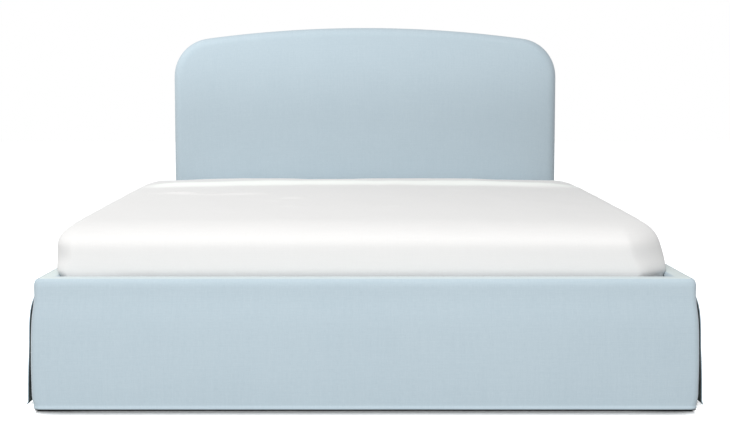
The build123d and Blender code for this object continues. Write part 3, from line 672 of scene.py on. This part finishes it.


# A dark cloth. Its colour is partly painted shade, darker for the shade inside the pleats' slits.
dark_pale, dark_shade = (0.13, 0.175, 0.17), (0.09, 0.125, 0.125)
lining = flat_weave("lining", dark_pale, dark_shade, yarn=0.0006, slub=50.0, mottle=0.1, bump=0.2)

skirt_half = 0.8635
skirt_foot = -1.080325
skirt_rear = 0.993175
skirt_corner = 0.018
skirt_cloth = 0.0028
hem = 0.004
wrap = 0.045
wrap_end = skirt_foot + wrap
edge_rise, rise_top, rise_run = 0.012, 0.070, 0.060
foot_hang, side_hang = 0.33, 0.31
hem_heights = [hem + rise for rise in (0, 0.001, 0.003, 0.005, 0.007, 0.009, 0.013, 0.024, 0.036, 0.050)]
skirt_heights = hem_heights + list(np.linspace(0.070, 0.250, 13)) + [0.264, 0.278, 0.290, 0.300, 0.310]
skirt_heights += [0.320, 0.328, 0.334, 0.339, 0.3425, 0.3448, 0.3462]

# How far each cloth stands out at each height: all are drawn in over the rail at their top, the foot
# cloth by its corners and its front, and the side cloths flared, and looser at their free front edge.
top_places = [0.298, 0.315, 0.332, 0.339, 0.3425, 0.3448, 0.3462]
top_draws = [0.0, 0.0, -0.0002, -0.0018, -0.0038, -0.0062, -0.0088]
corner_places = [hem, 0.022, 0.070, 0.160, 0.245] + top_places
corner_outs = [0.0028, 0.0080, 0.0101, 0.0099, 0.0061] + top_draws
front_places = [hem, 0.070, 0.150, 0.238] + top_places
front_outs = [0.0016, 0.0030, 0.0033, 0.0030] + top_draws
flare_places = [hem, 0.070, 0.150, 0.220, 0.276] + top_places
flare_outs = [0.0240, 0.0210, 0.0168, 0.0118, 0.0055] + top_draws
loose_places = [hem, 0.070, 0.160, 0.2525, 0.280, 0.298, 0.310, 0.3185, 0.330]
loose_outs = [0.0065, 0.0078, 0.0088, 0.0115, 0.0096, 0.0072, 0.0024, 0.0, 0.0]
loose_reach = 0.22
rear_held, rear_run, front_run = 0.05, 0.2, 0.25
foot_wave, foot_slack, round_share = 0.0016, 0.0010, 0.4
side_wave, side_slack = 0.0035, 0.0015

# Where the side cloths end at the rear: at the board above, and tucked in behind the headboard below.
board_end = 0.8126
tuck_in, tuck_back = 0.0285, 0.0034
tuck_top, tuck_fade = 0.290, 0.026
tuck_turn, tuck_bend = 0.829, 0.013


def hem_lip(height):
    """The doubled hem, turned a little outwards at the fold."""
    places = [hem + rise for rise in (0, 0.001, 0.003, 0.005, 0.009)]
    return float(np.interp(height, places, [0.0020, 0.0028, 0.0030, 0.0024, 0.0]))


def foot_skirt_rows():
    """The foot cloth, from its left free edge round both corners to its right one."""
    rows = []
    for height in skirt_heights:
        side = float(eased(height, corner_places, corner_outs))
        half = skirt_half + side
        y = skirt_foot - float(eased(height, front_places, front_outs))
        corner = skirt_corner + min(side, 0) * 0.5
        swing = 1.0 - height / foot_hang
        plan = [(half, wrap_end - along) for along in (0, 0.010, 0.019)] + [(half, y + corner + 0.001)]
        for angle in np.radians([10, 22.5, 35, 45, 55, 67.5, 80]):
            plan.append((half - corner + corner * math.cos(angle), y + corner - corner * math.sin(angle)))
        plan += [(x, y) for x in np.linspace(half - corner, 0, 33)]
        points = []
        for x, place in [(-x, place) for x, place in plan] + list(reversed(plan))[1:]:
            straight = abs(x) < half - corner
            wrapped = max(0.0, (place - skirt_foot - skirt_corner) / (wrap - skirt_corner))
            lift = edge_rise * wrapped * within((rise_top - height) / rise_run)
            wave = foot_wave * swing * ripple(x, height, 0.30, 7.0)
            wave += foot_slack * ripple(x, height, 0.55, 2.5)
            lip = hem_lip(height)
            turned = math.copysign(max(0, abs(x) - half + corner), x)
            outward = Vector((turned, min(0, place - y - corner), 0))
            outward = outward.normalized() if outward.length > 0 else Vector((math.copysign(1, x), 0, 0))
            if straight:
                outward = Vector((0, -1, 0))
            pushed = lip + (wave if straight else wave * round_share)
            points.append((x + outward.x * lip, place + outward.y * pushed, height + lift))
        rows.append(points)
    return rows


def side_skirt_rows():
    """The right side cloth, from its free front edge to its rear end."""
    rows = []
    start = wrap_end + 0.002
    for height in skirt_heights:
        side = float(eased(height, flare_places, flare_outs))
        loose = float(eased(height, loose_places, loose_outs)) if height < loose_places[-1] else 0.0
        half = skirt_half + side
        corner = skirt_corner + min(side, 0) * 0.5
        plan = [(half, start + along) for along in (0, 0.004, 0.012, 0.03)]
        plan += [(half, y) for y in np.linspace(start + 0.06, skirt_rear - corner - 0.01, 52)]
        for angle in np.radians([0, 12, 25, 38, 52, 65, 78, 90]):
            x = half - corner + corner * math.cos(angle)
            plan.append((x, skirt_rear - corner + corner * math.sin(angle)))
        tucked = smooth_share((tuck_top - height) / tuck_fade)
        for x in np.linspace(half - corner, board_end - tuck_in * tucked, 13)[1:]:
            plan.append((x, skirt_rear + tuck_back * tucked * smooth_share((tuck_turn - x) / tuck_bend)))
        swing = max(0.0, 1.0 - height / side_hang)
        lip = hem_lip(height)
        points = []
        for x, y in plan:
            free = within((skirt_rear - rear_held - y) / rear_run)
            near = within((y - start) / front_run)
            wave = side_wave * near * ripple(y, height * 0.4, 0.34, 5.0)
            wave += side_slack * ripple(y, height, 0.16, 8.0)
            wave = swing * free * wave + loose * math.exp(-(((y - start) / loose_reach) ** 2))
            points.append((x + (lip + wave if y < skirt_rear - corner else 0.0), y, height))
        rows.append(points)
    return rows


def hung(piece, node):
    """Finishes one skirt cloth and hangs it from the tape."""
    finished(piece, upholstery, thickness=skirt_cloth, back=lining)
    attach(piece, "frame")
    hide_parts(node)


hung(cloth_grid("foot_skirt_cloth", foot_skirt_rows()), "foot_skirt")
right_side = side_skirt_rows()
hung(cloth_grid("right_skirt_cloth", right_side), "right_skirt")
hung(cloth_grid("left_skirt_cloth", other_side(right_side)), "left_skirt")

# The kick pleats' underlays.
# A strip of the dark lining sewn behind each slit at the foot corners, its rear edge swung out with
# the side cloth. Its dark colour is partly painted shade, for the shade inside the slit.
pleat_side, pleat_swing = 0.8602, 0.012
pleat_bow, bow_top = 0.0007, 0.3
pleat_front, pleat_back = skirt_foot + 0.024, skirt_foot + 0.135
pleat_hem, pleat_seam = 0.014, 0.298
pleat_heights = [pleat_hem, 0.017, 0.03] + list(np.linspace(0.05, 0.29, 11)) + [0.3, 0.3115]


def underlay_rows():
    """The right underlay, swung out most at the lower end of its rear edge."""
    rows = []
    for height in pleat_heights:
        swing = pleat_swing * max(0.0, (pleat_seam - height) / (pleat_seam - pleat_hem))
        row = []
        for share in np.linspace(0, 1, 9):
            bow = pleat_bow * math.sin(math.pi * share) * max(0.0, 1 - height / bow_top)
            x = pleat_side + swing * share + bow
            row.append((x, pleat_front + (pleat_back - pleat_front) * share, height))
        rows.append(row)
    return rows


def underlay(name, rows, node):
    """Finishes one underlay and hangs it with the skirt."""
    piece = finished(cloth_grid(name, rows), lining, thickness=0.0018)
    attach(piece, "frame")
    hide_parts(node)


right_pleat = underlay_rows()
underlay("right_pleat_underlay", right_pleat, "right_corner_pleat")
underlay("left_pleat_underlay", other_side(right_pleat), "left_corner_pleat")

# The slats' straps.
# Two natural cotton tapes stapled across the slats, which keep them at their distance and sag a
# little between them.
tape_pale, tape_shade = (0.72, 0.67, 0.56), (0.58, 0.52, 0.42)
cotton_tape = flat_weave("cotton_tape", tape_pale, tape_shade, yarn=0.0016, slub=90.0, mottle=0.1, bump=0.8)
strap_low, strap_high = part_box("slat_webbing")
slat_spans = [(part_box(name)[0].y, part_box(name)[1].y) for name in slat_names]
tape_half, tape_sag = 0.012, 0.0024
tape_places = [strap_low.y, strap_low.y + 0.002]
for (start, end), (following, _) in zip(slat_spans, slat_spans[1:]):
    tape_places += [(start + end) / 2, end - 0.006, end - 0.001]
    tape_places += list(np.linspace(end, following, 7)[1:-1]) + [following + 0.001, following + 0.006]
tape_places += [sum(slat_spans[-1]) / 2, strap_high.y - 0.002, strap_high.y]


def tape_height(y):
    """The height of a tape, which lies on the slats and sags between two of them."""
    for (_, end), (following, _) in zip(slat_spans, slat_spans[1:]):
        if end < y < following:
            return strap_high.z - tape_sag * math.sin(math.pi * (y - end) / (following - end))
    return strap_high.z


straps = []
for side in (-1, 1):
    middle = side * (strap_high.x - tape_half)
    edges = [middle + x for x in (-tape_half, -0.004, 0.004, tape_half)]
    rows = [[(x, y, tape_height(y)) for x in edges] for y in tape_places]
    straps.append(cloth_grid("slat_straps", rows))
only(*straps)
bpy.ops.object.join()
slat_straps = finished(straps[0], cotton_tape, thickness=0.0012, soft_levels=0)
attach(slat_straps, "frame")
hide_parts("slat_webbing")

# The headboard's upholstery.
# Foam in front of the panel under one piece of the same cloth, pulled over the arched edge and
# stapled to the back of the frame. The cloth's colour has painted light: lighter towards the top.
pad_low, pad_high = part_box("headboard_cloth")
pad_half = pad_high.x
crown_radius = 4.95
shoulder_radius, least_shoulder = 0.16, 0.02
pad_edge = 0.036
pad_return = 0.045
back_room, back_turn, back_edge = 0.0012, 0.009, 0.008
arch_steps, shoulder_steps, side_steps, edge_steps = 60, 12, 44, 7
face_wide, face_high = arch_steps + shoulder_steps, side_steps + shoulder_steps // 2
fullness, slack, edge_fade = 0.0042, 0.0007, 0.06
clamp_top, clamp_fade = 0.27, 0.12
painted_light_from, painted_light_to = 0.70, 1.05
low_shade, high_shade = 0.90, 1.045


def arched_outline(inset):
    """Points round the headboard, drawn in by an inset, from its lower left corner anticlockwise."""
    half = pad_half - inset
    low = pad_low.z + inset
    top = pad_high.z - inset
    crown = crown_radius - inset
    shoulder = max(shoulder_radius - inset, least_shoulder)
    reach = math.sqrt((crown - shoulder) ** 2 - (half - shoulder) ** 2)
    turn = top - crown + reach
    start = math.atan2(reach, half - shoulder)
    bottom = [(-half + 2 * half * i / face_wide, low) for i in range(face_wide)]
    right = [(half, low + (turn - low) * i / side_steps) for i in range(side_steps)]
    for i in range(shoulder_steps):
        angle = start * i / shoulder_steps
        right.append((half - shoulder + shoulder * math.cos(angle), turn + shoulder * math.sin(angle)))
    sweep = math.pi - 2 * start
    angles = [start + sweep * i / arch_steps for i in range(arch_steps + 1)]
    arch = [(crown * math.cos(a), top - crown + crown * math.sin(a)) for a in angles]
    left = [(-x, z) for x, z in reversed(right)]
    return bottom + right + arch + left[:-1]


def patch(ring, wide, high):
    """A four-sided grid inside a closed ring of points that starts at the lower left."""
    ring = [np.array(point) for point in ring]
    low = ring[: wide + 1]
    right = ring[wide : wide + high + 1]
    top = ring[wide + high : 2 * wide + high + 1][::-1]
    left = (ring[2 * wide + high :] + [ring[0]])[::-1]
    rows = []
    for j in range(high + 1):
        v = j / high
        row = []
        for i in range(wide + 1):
            u = i / wide
            ruled = (1 - v) * low[i] + v * top[i] + (1 - u) * left[j] + u * right[j]
            lower = (1 - u) * (1 - v) * low[0] + u * (1 - v) * low[-1]
            upper = (1 - u) * v * top[0] + u * v * top[-1]
            row.append(ruled - lower - upper)
        rows.append(row)
    return rows


def pad_front(x, z):
    """The front of the padding: fullest in the middle, flat where the bed's head board clamps it."""
    top = pad_high.z - crown_radius + math.sqrt(crown_radius ** 2 - x ** 2)
    edge = max(min(pad_half - abs(x), top - z) - pad_edge, 0)
    full = (1 - math.exp(-edge / edge_fade)) * smooth_share((z - clamp_top) / clamp_fade)
    return pad_low.y - full * (fullness + slack * ripple(x, z, 0.24, 1.0))


# Painted light: the headboard's cloth is made lighter towards the top and darker low down.
pad_cloth = upholstery.copy()
pad_cloth.name = "upholstery_painted_light"
pad_tree, pad_base, pad_woven = woven_in(pad_cloth)
pad_rise = place_parts(pad_tree)["Z"]
pad_painted_light = ranged(pad_tree, pad_rise, painted_light_from, painted_light_to, low_shade, high_shade, curve="SMOOTHSTEP")
pad_shade = wire(pad_tree, "ShaderNodeVectorMath", {0: pad_woven, "Scale": pad_painted_light}, operation="SCALE")
pad_tree.links.new(pad_shade.outputs[0], pad_base)

pad_rings = []
pad_back = pad_high.y - back_room
for inset, y in ((pad_return, pad_back), (back_edge, pad_back), (back_room, pad_back - back_room)):
    pad_rings.append([(x, y, z) for x, z in arched_outline(inset)])
for y in np.linspace(pad_high.y - back_turn, pad_low.y + pad_edge, 4):
    pad_rings.append([(x, y, z) for x, z in arched_outline(0)])
for i in range(1, edge_steps + 1):
    angle = math.radians(90) * i / edge_steps
    inset = pad_edge * (1 - math.cos(angle))
    pad_rings.append([(x, pad_low.y + pad_edge * (1 - math.sin(angle)), z) for x, z in arched_outline(inset)])
pad_face = patch(pad_rings[-1], face_wide, face_high)
for row in pad_face:
    for point in row:
        point[1] = pad_front(point[0], point[2])
headboard_pad = sewn(
    cloth_grid("headboard_pad", pad_rings, closed=True), cloth_grid("headboard_pad_face", pad_face)
)
finished(headboard_pad, pad_cloth, thickness=0.002)
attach(headboard_pad, "frame")
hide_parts("headboard_cloth", "headboard_foam")

# The headboard's back cloth.
# A thin dark cloth with its edges folded under, stapled all round over the ends of the cover. It
# sinks a little between the frame's timbers.
back_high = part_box("headboard_back_cloth")[1]
back_inset = pad_high.x - back_high.x
stile_place, stile_half = 0.62, 0.035
frame_low, frame_top, frame_half = 0.05, 1.02, 0.76
sink_depth, sink_run, back_slack = 0.004, 0.12, 0.0004


def back_sink(x, z):
    """How far the cloth sinks in, by its distance from the nearest timber of the frame."""
    beside = min(abs(abs(x) - stile_place) - stile_half, frame_half - abs(x))
    timber = min(beside, abs(z - frame_low), frame_top - z)
    return sink_depth * within(timber / sink_run)


back_rows = patch([(x, back_high.y, z) for x, z in arched_outline(back_inset)], face_wide, face_high)
for row in back_rows:
    row.reverse()
    for point in row:
        sunk = back_sink(point[0], point[2])
        point[1] = back_high.y - sunk + back_slack * ripple(point[0], point[2], 0.12, 2.0)
back_cloth = finished(cloth_grid("headboard_back", back_rows), lining, thickness=0.001)
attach(back_cloth, "frame")
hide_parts("headboard_back_cloth")

# The headboard's staples.
# Zinc-plated wire staples, driven through the back cloth's folded edge into the frame, a hand's width
# apart all round.
staple_long, staple_wire = 0.0125, 0.0012
staple_inset, staple_proud = 0.008, 0.0004
staple_start, staple_apart, staple_lean = 0.02, 0.082, 0.12
bpy.ops.object.select_all(action="DESELECT")
bpy.ops.mesh.primitive_cube_add(size=1)
staple = bpy.context.object
staple.name = "back_staples"
staple.scale = (staple_long, staple_wire, staple_wire)
bpy.ops.object.transform_apply(location=False, rotation=False, scale=True)
bpy.ops.object.mode_set(mode="EDIT")
bpy.ops.mesh.select_all(action="SELECT")
bpy.ops.mesh.bevel(offset=staple_wire * 0.3, segments=1)
bpy.ops.object.mode_set(mode="OBJECT")
staple_line = arched_outline(back_inset + staple_inset)
staple_line.append(staple_line[0])
staples, walked = [], staple_start
for (x0, z0), (x1, z1) in zip(staple_line, staple_line[1:]):
    run = math.hypot(x1 - x0, z1 - z0)
    while walked < run:
        x, z = x0 + walked / run * (x1 - x0), z0 + walked / run * (z1 - z0)
        lean = staple_lean * ripple(x, z0, 0.05, 4.0)
        turned = Matrix.Rotation(-math.atan2(z1 - z0, x1 - x0) + lean, 4, "Y")
        place = Matrix.Translation((x, back_high.y + staple_proud, z))
        driven = staple.copy()
        driven.data = staple.data.copy()
        driven.data.transform(place @ turned)
        bpy.context.collection.objects.link(driven)
        staples.append(driven)
        walked += staple_apart
    walked -= run
bpy.data.objects.remove(staple, do_unlink=True)
only(*staples)
bpy.ops.object.join()
back_staples = staples[0]
back_staples.name = "back_staples"
back_staples.data.materials.clear()
back_staples.data.materials.append(zinc)
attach(back_staples, "frame")

# The mattress.
# Two layers of foam in a white knitted cover, with a low crown along its middle and soft edges. It
# lies loose in the well, bulges a little over the left rail, and its right shoulder is the softer one.
mattress_under = 0.262
mattress_foot = -1.016825
mattress_length = 2.0
mattress_half = 0.8
plan_corner, top_corner = 0.085, 0.045
wall_start = 0.110
shoulder_inset, shoulder_drop, foot_roll = 0.058, 0.056, 3.3

# How far its sides stand out along its length, whichever the sign, and how high its edges and its crown
# are there. Places are shares of the length.
side_places = [0.0, 0.025, 0.07, 0.16, 0.275, 0.43, 0.565, 0.705, 0.81, 0.925, 0.975, 1.0]
side_outs = [0.0095, 0.0105, 0.011, 0.009, 0.006, 0.004, 0.003, 0.003, 0.003, 0.002, -0.001, -0.002]
edge_places = [0.0, 0.025, 0.07, 0.16, 0.275, 0.43, 0.565, 0.64, 0.705, 0.81, 0.925, 0.975, 1.0]
edge_heights = [0.206, 0.2085, 0.2155, 0.2235, 0.2315, 0.2395, 0.2445, 0.247, 0.246, 0.235]
edge_heights += [0.219, 0.209, 0.205]
crowns = [0.0025, 0.0035, 0.004, 0.006, 0.008, 0.011, 0.010, 0.009, 0.007, 0.0045, 0.004, 0.003, 0.002]

# How far it is out on the left and in on the right above the rails, and the height from which and the
# rise over which it gets there.
left_bulges = [0.011, 0.012, 0.0135, 0.015, 0.017, 0.020, 0.024, 0.025, 0.018, 0.008, 0.003, 0.0]
right_draws = [0.011, 0.012, 0.013, 0.014, 0.015, 0.015, 0.017, 0.018, 0.014, 0.006, 0.002, 0.0]
left_from, left_run = 0.075, 0.029
right_from, right_run = 0.112, 0.080

# Its low spread at the right foot corner, how far the middle of its foot stands back, and its foot
# corners: their radii for the plan's, what filling the well takes off them, and how flat they are.
right_spread, spread_reach = 0.005, 0.25
spread_from, spread_rise, spread_to, spread_fall = 0.074, 0.014, 0.175, 0.060
foot_recess, recess_reach, recess_half, recess_top = 0.0024, 0.05, 0.74, 0.100
recess_back, recess_side, recess_fall = 0.04, 0.14, 0.024
filled_top, filled_run = 0.135, 0.045
left_turn, left_filled, right_turn, right_filled = 0.55, 0.25, 1.25, 0.22
turn_power, right_power = 1.3, 1.55

across_steps, length_steps, turn_steps, roll_steps = 44, 84, 5, 7
top_wide, top_high = across_steps + 2 * turn_steps, length_steps + 2 * turn_steps


def mattress_ring(inset, corner, roll=1.0, filled=0.0):
    """A rounded rectangle round the mattress in plan, from the middle of its left foot corner.

    Low down its foot corners are squarer, where they fill the well."""
    half = mattress_half - inset
    front = mattress_foot + inset * roll
    rear = mattress_foot + mattress_length - inset
    left, right = left_turn - left_filled * filled, right_turn - right_filled * filled
    turns = [corner * left, corner * right, corner, corner]
    corners = [
        (-half + turns[0], front + turns[0], 225),
        (half - turns[1], front + turns[1], 315),
        (half - turns[2], rear - turns[2], 45),
        (-half + turns[3], rear - turns[3], 135),
    ]
    points = []

    def turned_point(index, angle):
        """A place on a corner, which is flatter than a quarter circle, the right foot corner most."""
        power = right_power if index == 1 else turn_power
        flat = [math.copysign(abs(part) ** power, part) for part in (math.cos(angle), math.sin(angle))]
        return corners[index][0] + turns[index] * flat[0], corners[index][1] + turns[index] * flat[1]

    for index, (_, _, middle) in enumerate(corners):
        following = (index + 1) % 4
        for step in range(turn_steps):
            points.append(turned_point(index, math.radians(middle + 45 * step / turn_steps)))
        start = turned_point(index, math.radians(middle + 45))
        end = turned_point(following, math.radians(middle + 45))
        count = across_steps if index % 2 == 0 else length_steps
        across, along = end[0] - start[0], end[1] - start[1]
        points += [(start[0] + across * i / count, start[1] + along * i / count) for i in range(count)]
        for step in range(turn_steps):
            points.append(turned_point(following, math.radians(middle + 45 + 45 * step / turn_steps)))
    widened = []
    for x, y in points:
        share = (y - mattress_foot) / mattress_length
        widened.append((x + abs(float(eased(share, side_places, side_outs))) * x / mattress_half, y))
    return widened


def top_height(x, y):
    """The height of the mattress's top face above its underside."""
    share = (y - mattress_foot) / mattress_length
    edge = float(eased(share, edge_places, edge_heights))
    crown = float(eased(share, edge_places, crowns))
    return edge + crown * max(0.0, 1 - (x / (mattress_half - shoulder_inset)) ** 2)


def settled(x, y, z):
    """A point of the mattress as the bed holds it: out over the left rail and in from the right one.

    Low at the right foot corner it spreads a little, and the middle of its foot stands back."""
    share = (y - mattress_foot) / mattress_length
    height = z - mattress_under
    if x < 0:
        moves, rise = left_bulges, (height - left_from) / left_run
    else:
        moves, rise = right_draws, (height - right_from) / right_run
    x -= float(eased(share, side_places, moves)) * smooth_share(rise) * abs(x) / mattress_half
    if x > 0:
        low = smooth_share((height - spread_from) / spread_rise)
        low *= smooth_share((spread_to - height) / spread_fall)
        fade = math.exp(-((share * mattress_length / spread_reach) ** 2))
        x += right_spread * low * fade * x / mattress_half
    near = smooth_share((mattress_foot + recess_reach - y) / recess_back)
    near *= smooth_share((recess_half - abs(x)) / recess_side)
    y += foot_recess * near * smooth_share((recess_top - height) / recess_fall)
    return x, y, z


def mattress_rows(shrink, low_rows):
    """Rings up the side and over the shoulder, and the grid of the top face."""
    inner = mattress_ring(shoulder_inset, top_corner, foot_roll)
    tops = [top_height(x, y) for x, y in inner]
    rings = []
    for inset, height in low_rows:
        filled = smooth_share((filled_top - height) / filled_run)
        plan = mattress_ring(inset + shrink, plan_corner - shrink, filled=filled)
        rings.append([(x, y, mattress_under + height) for x, y in plan])
    plan = mattress_ring(shrink, plan_corner - shrink)
    for share in (0.35, 0.7):
        rises = [wall_start + (top - shoulder_drop - wall_start) * share for top in tops]
        rings.append([(x, y, mattress_under + rise) for (x, y), rise in zip(plan, rises)])
    for i in range(roll_steps + 1):
        angle = math.radians(90) * i / roll_steps
        inset = shrink + (shoulder_inset - shrink) * (1 - math.cos(angle))
        corner = plan_corner + (top_corner - plan_corner) * (1 - math.cos(angle))
        plan = mattress_ring(inset, corner, foot_roll) if i < roll_steps else inner
        drop = (shoulder_drop - shrink) * (1 - math.sin(angle)) + shrink
        rings.append([(x, y, mattress_under + top - drop) for (x, y), top in zip(plan, tops)])
    face = patch(rings[-1], top_wide, top_high)
    for row in face[1:-1]:
        for point in row[1:-1]:
            point[2] = mattress_under + top_height(point[0], point[1]) - shrink
    return [[[settled(*point) for point in row] for row in rows] for rows in (rings, face)]


knit_pale, knit_shade = (0.88, 0.88, 0.86), (0.78, 0.78, 0.76)
knit = flat_weave("knitted_ticking", knit_pale, knit_shade, yarn=0.0022, slub=200.0, mottle=0.05, bump=0.8)
# Its lower rows, from the underside up, each an inset and a height.
ticking_low = [(0.05, 0.0018), (0.012, 0.0018), (0.009, 0.0028), (0.006, 0.0065), (0.006, 0.012)]
ticking_low += [(0.006, 0.05), (0.006, 0.076), (0.003, 0.084), (0.0, 0.091), (0.0, wall_start)]
ticking_rings, ticking_face = mattress_rows(0.002, ticking_low)
ticking_under = patch(ticking_rings[0], top_wide, top_high)
mattress = sewn(
    cloth_grid("mattress", ticking_rings, closed=True),
    cloth_grid("mattress_top", ticking_face),
    cloth_grid("mattress_bottom", ticking_under),
)
finished(mattress, knit, soft_levels=0)
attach(mattress, "mattress")
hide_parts("mattress_ticking", "mattress_support_foam", "mattress_comfort_foam")

# The fitted sheet.
# White cotton jersey drawn over the mattress and gathered under it by an elastic hem. It is taut
# over the foot, and has one long soft fold across it, with a few small creases in front of the fold
# and two broad ones behind. A painted highlight lies along the fold's crest.
sheet_pale, sheet_shade = (0.880, 0.875, 0.870), (0.840, 0.835, 0.830)
sheet_cotton = flat_weave(
    "sheet_cotton", sheet_pale, sheet_shade, yarn=0.0009, slub=160.0, mottle=0.06, bump=0.15
)
sheet_tree, sheet_base, sheet_woven = woven_in(sheet_cotton)
sheet_parts = place_parts(sheet_tree)
# Painted highlight: the cloth is made paler along the crest of the long fold.
fold_painted_highlight, fold_middle = (0.935, 0.965, 0.94), 0.085
fold_end, fold_full = 0.775, 0.70
crest_edge, crest_full = 0.062, 0.028
fold_off = math_of(sheet_tree, "ABSOLUTE", math_of(sheet_tree, "SUBTRACT", sheet_parts["Y"], fold_middle))
fold_side = math_of(sheet_tree, "ABSOLUTE", sheet_parts["X"])
fold_length = ranged(sheet_tree, fold_side, fold_end, fold_full, curve="SMOOTHSTEP")
crest_painted_highlight = ranged(sheet_tree, fold_off, crest_edge, crest_full, 0.0, fold_length, curve="SMOOTHSTEP")
sheet_tree.links.new(blended(sheet_tree, crest_painted_highlight, sheet_woven, fold_painted_highlight), sheet_base)

# The long fold and the creases, each by its two ends, its width and its height. Each wanders from side
# to side by a share of its width.
crease_taper, crease_wander = 0.16, 0.7
crease_from, crease_run = 0.17, 0.03
sheet_slack, sheet_ripple = 0.0012, 0.0008
creases = (
    ((-0.80, 0.085), (0.76, 0.075), 0.030, 0.0150),
    ((-0.735, -0.14), (-0.47, -0.27), 0.012, 0.0064),
    ((-0.52, -0.262), (-0.29, -0.250), 0.011, 0.0058),
    ((-0.66, -0.19), (-0.52, -0.225), 0.010, 0.0038),
    ((-0.27, -0.385), (-0.17, -0.380), 0.012, 0.0052),
    ((-0.32, -0.43), (-0.24, -0.47), 0.012, 0.0028),
    ((-0.26, -0.590), (-0.18, -0.580), 0.013, 0.0026),
    ((0.06, -0.60), (0.13, -0.585), 0.013, 0.0022),
    ((0.22, -0.10), (0.44, -0.13), 0.030, 0.0020),
    ((-0.10, 0.34), (0.52, 0.42), 0.040, 0.0040),
    ((-0.70, 0.58), (-0.20, 0.50), 0.035, 0.0045),
)


def creased(x, y):
    """How far the sheet stands up in its fold and creases, and in the slack of the cloth."""
    lifted = sheet_slack * ripple(x, y, 0.16, 6.0) + sheet_ripple * ripple(x, y, 0.07, 9.0)
    for (x0, y0), (x1, y1), width, height in creases:
        length = math.hypot(x1 - x0, y1 - y0)
        along = ((x - x0) * (x1 - x0) + (y - y0) * (y1 - y0)) / length
        if not 0 < along < length:
            continue
        across = ((x - x0) * (y1 - y0) - (y - y0) * (x1 - x0)) / length
        wander = crease_wander * width + 0.001
        across += wander * ripple(along, 0.0, 0.12 + 0.2 * width / 0.03, height * 1000)
        taper = min(crease_taper, length / 2)
        fade = math.sin(math.pi / 2 * min(1.0, min(along, length - along) / taper))
        lifted += height * fade * math.exp(-((across / width) ** 2))
    return lifted


sheet_low = [(0.110, 0.0), (0.085, 0.0), (0.012, 0.0), (0.0085, 0.0010), (0.0055, 0.005), (0.005, 0.012)]
sheet_low += [(0.005, 0.045), (0.003, 0.060), (0.0022, 0.074), (0.0014, 0.082), (0.0002, 0.090)]
sheet_low += [(0.0, 0.099), (0.0, 0.112)]
sheet_rings, sheet_top = mattress_rows(0.0, sheet_low)
fitted_sheet = sewn(
    cloth_grid("bed_sheet", sheet_rings, closed=True), cloth_grid("bed_sheet_top", sheet_top), turned=False
)
finished(fitted_sheet, sheet_cotton)
for vertex in fitted_sheet.data.vertices:
    x, y, z = vertex.co
    flat = within((z - mattress_under - crease_from) / crease_run)
    if flat:
        vertex.co.z = z + flat * creased(x, y)
thickened(fitted_sheet, thickness=0.0015)
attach(fitted_sheet, "mattress")
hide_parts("fitted_sheet")
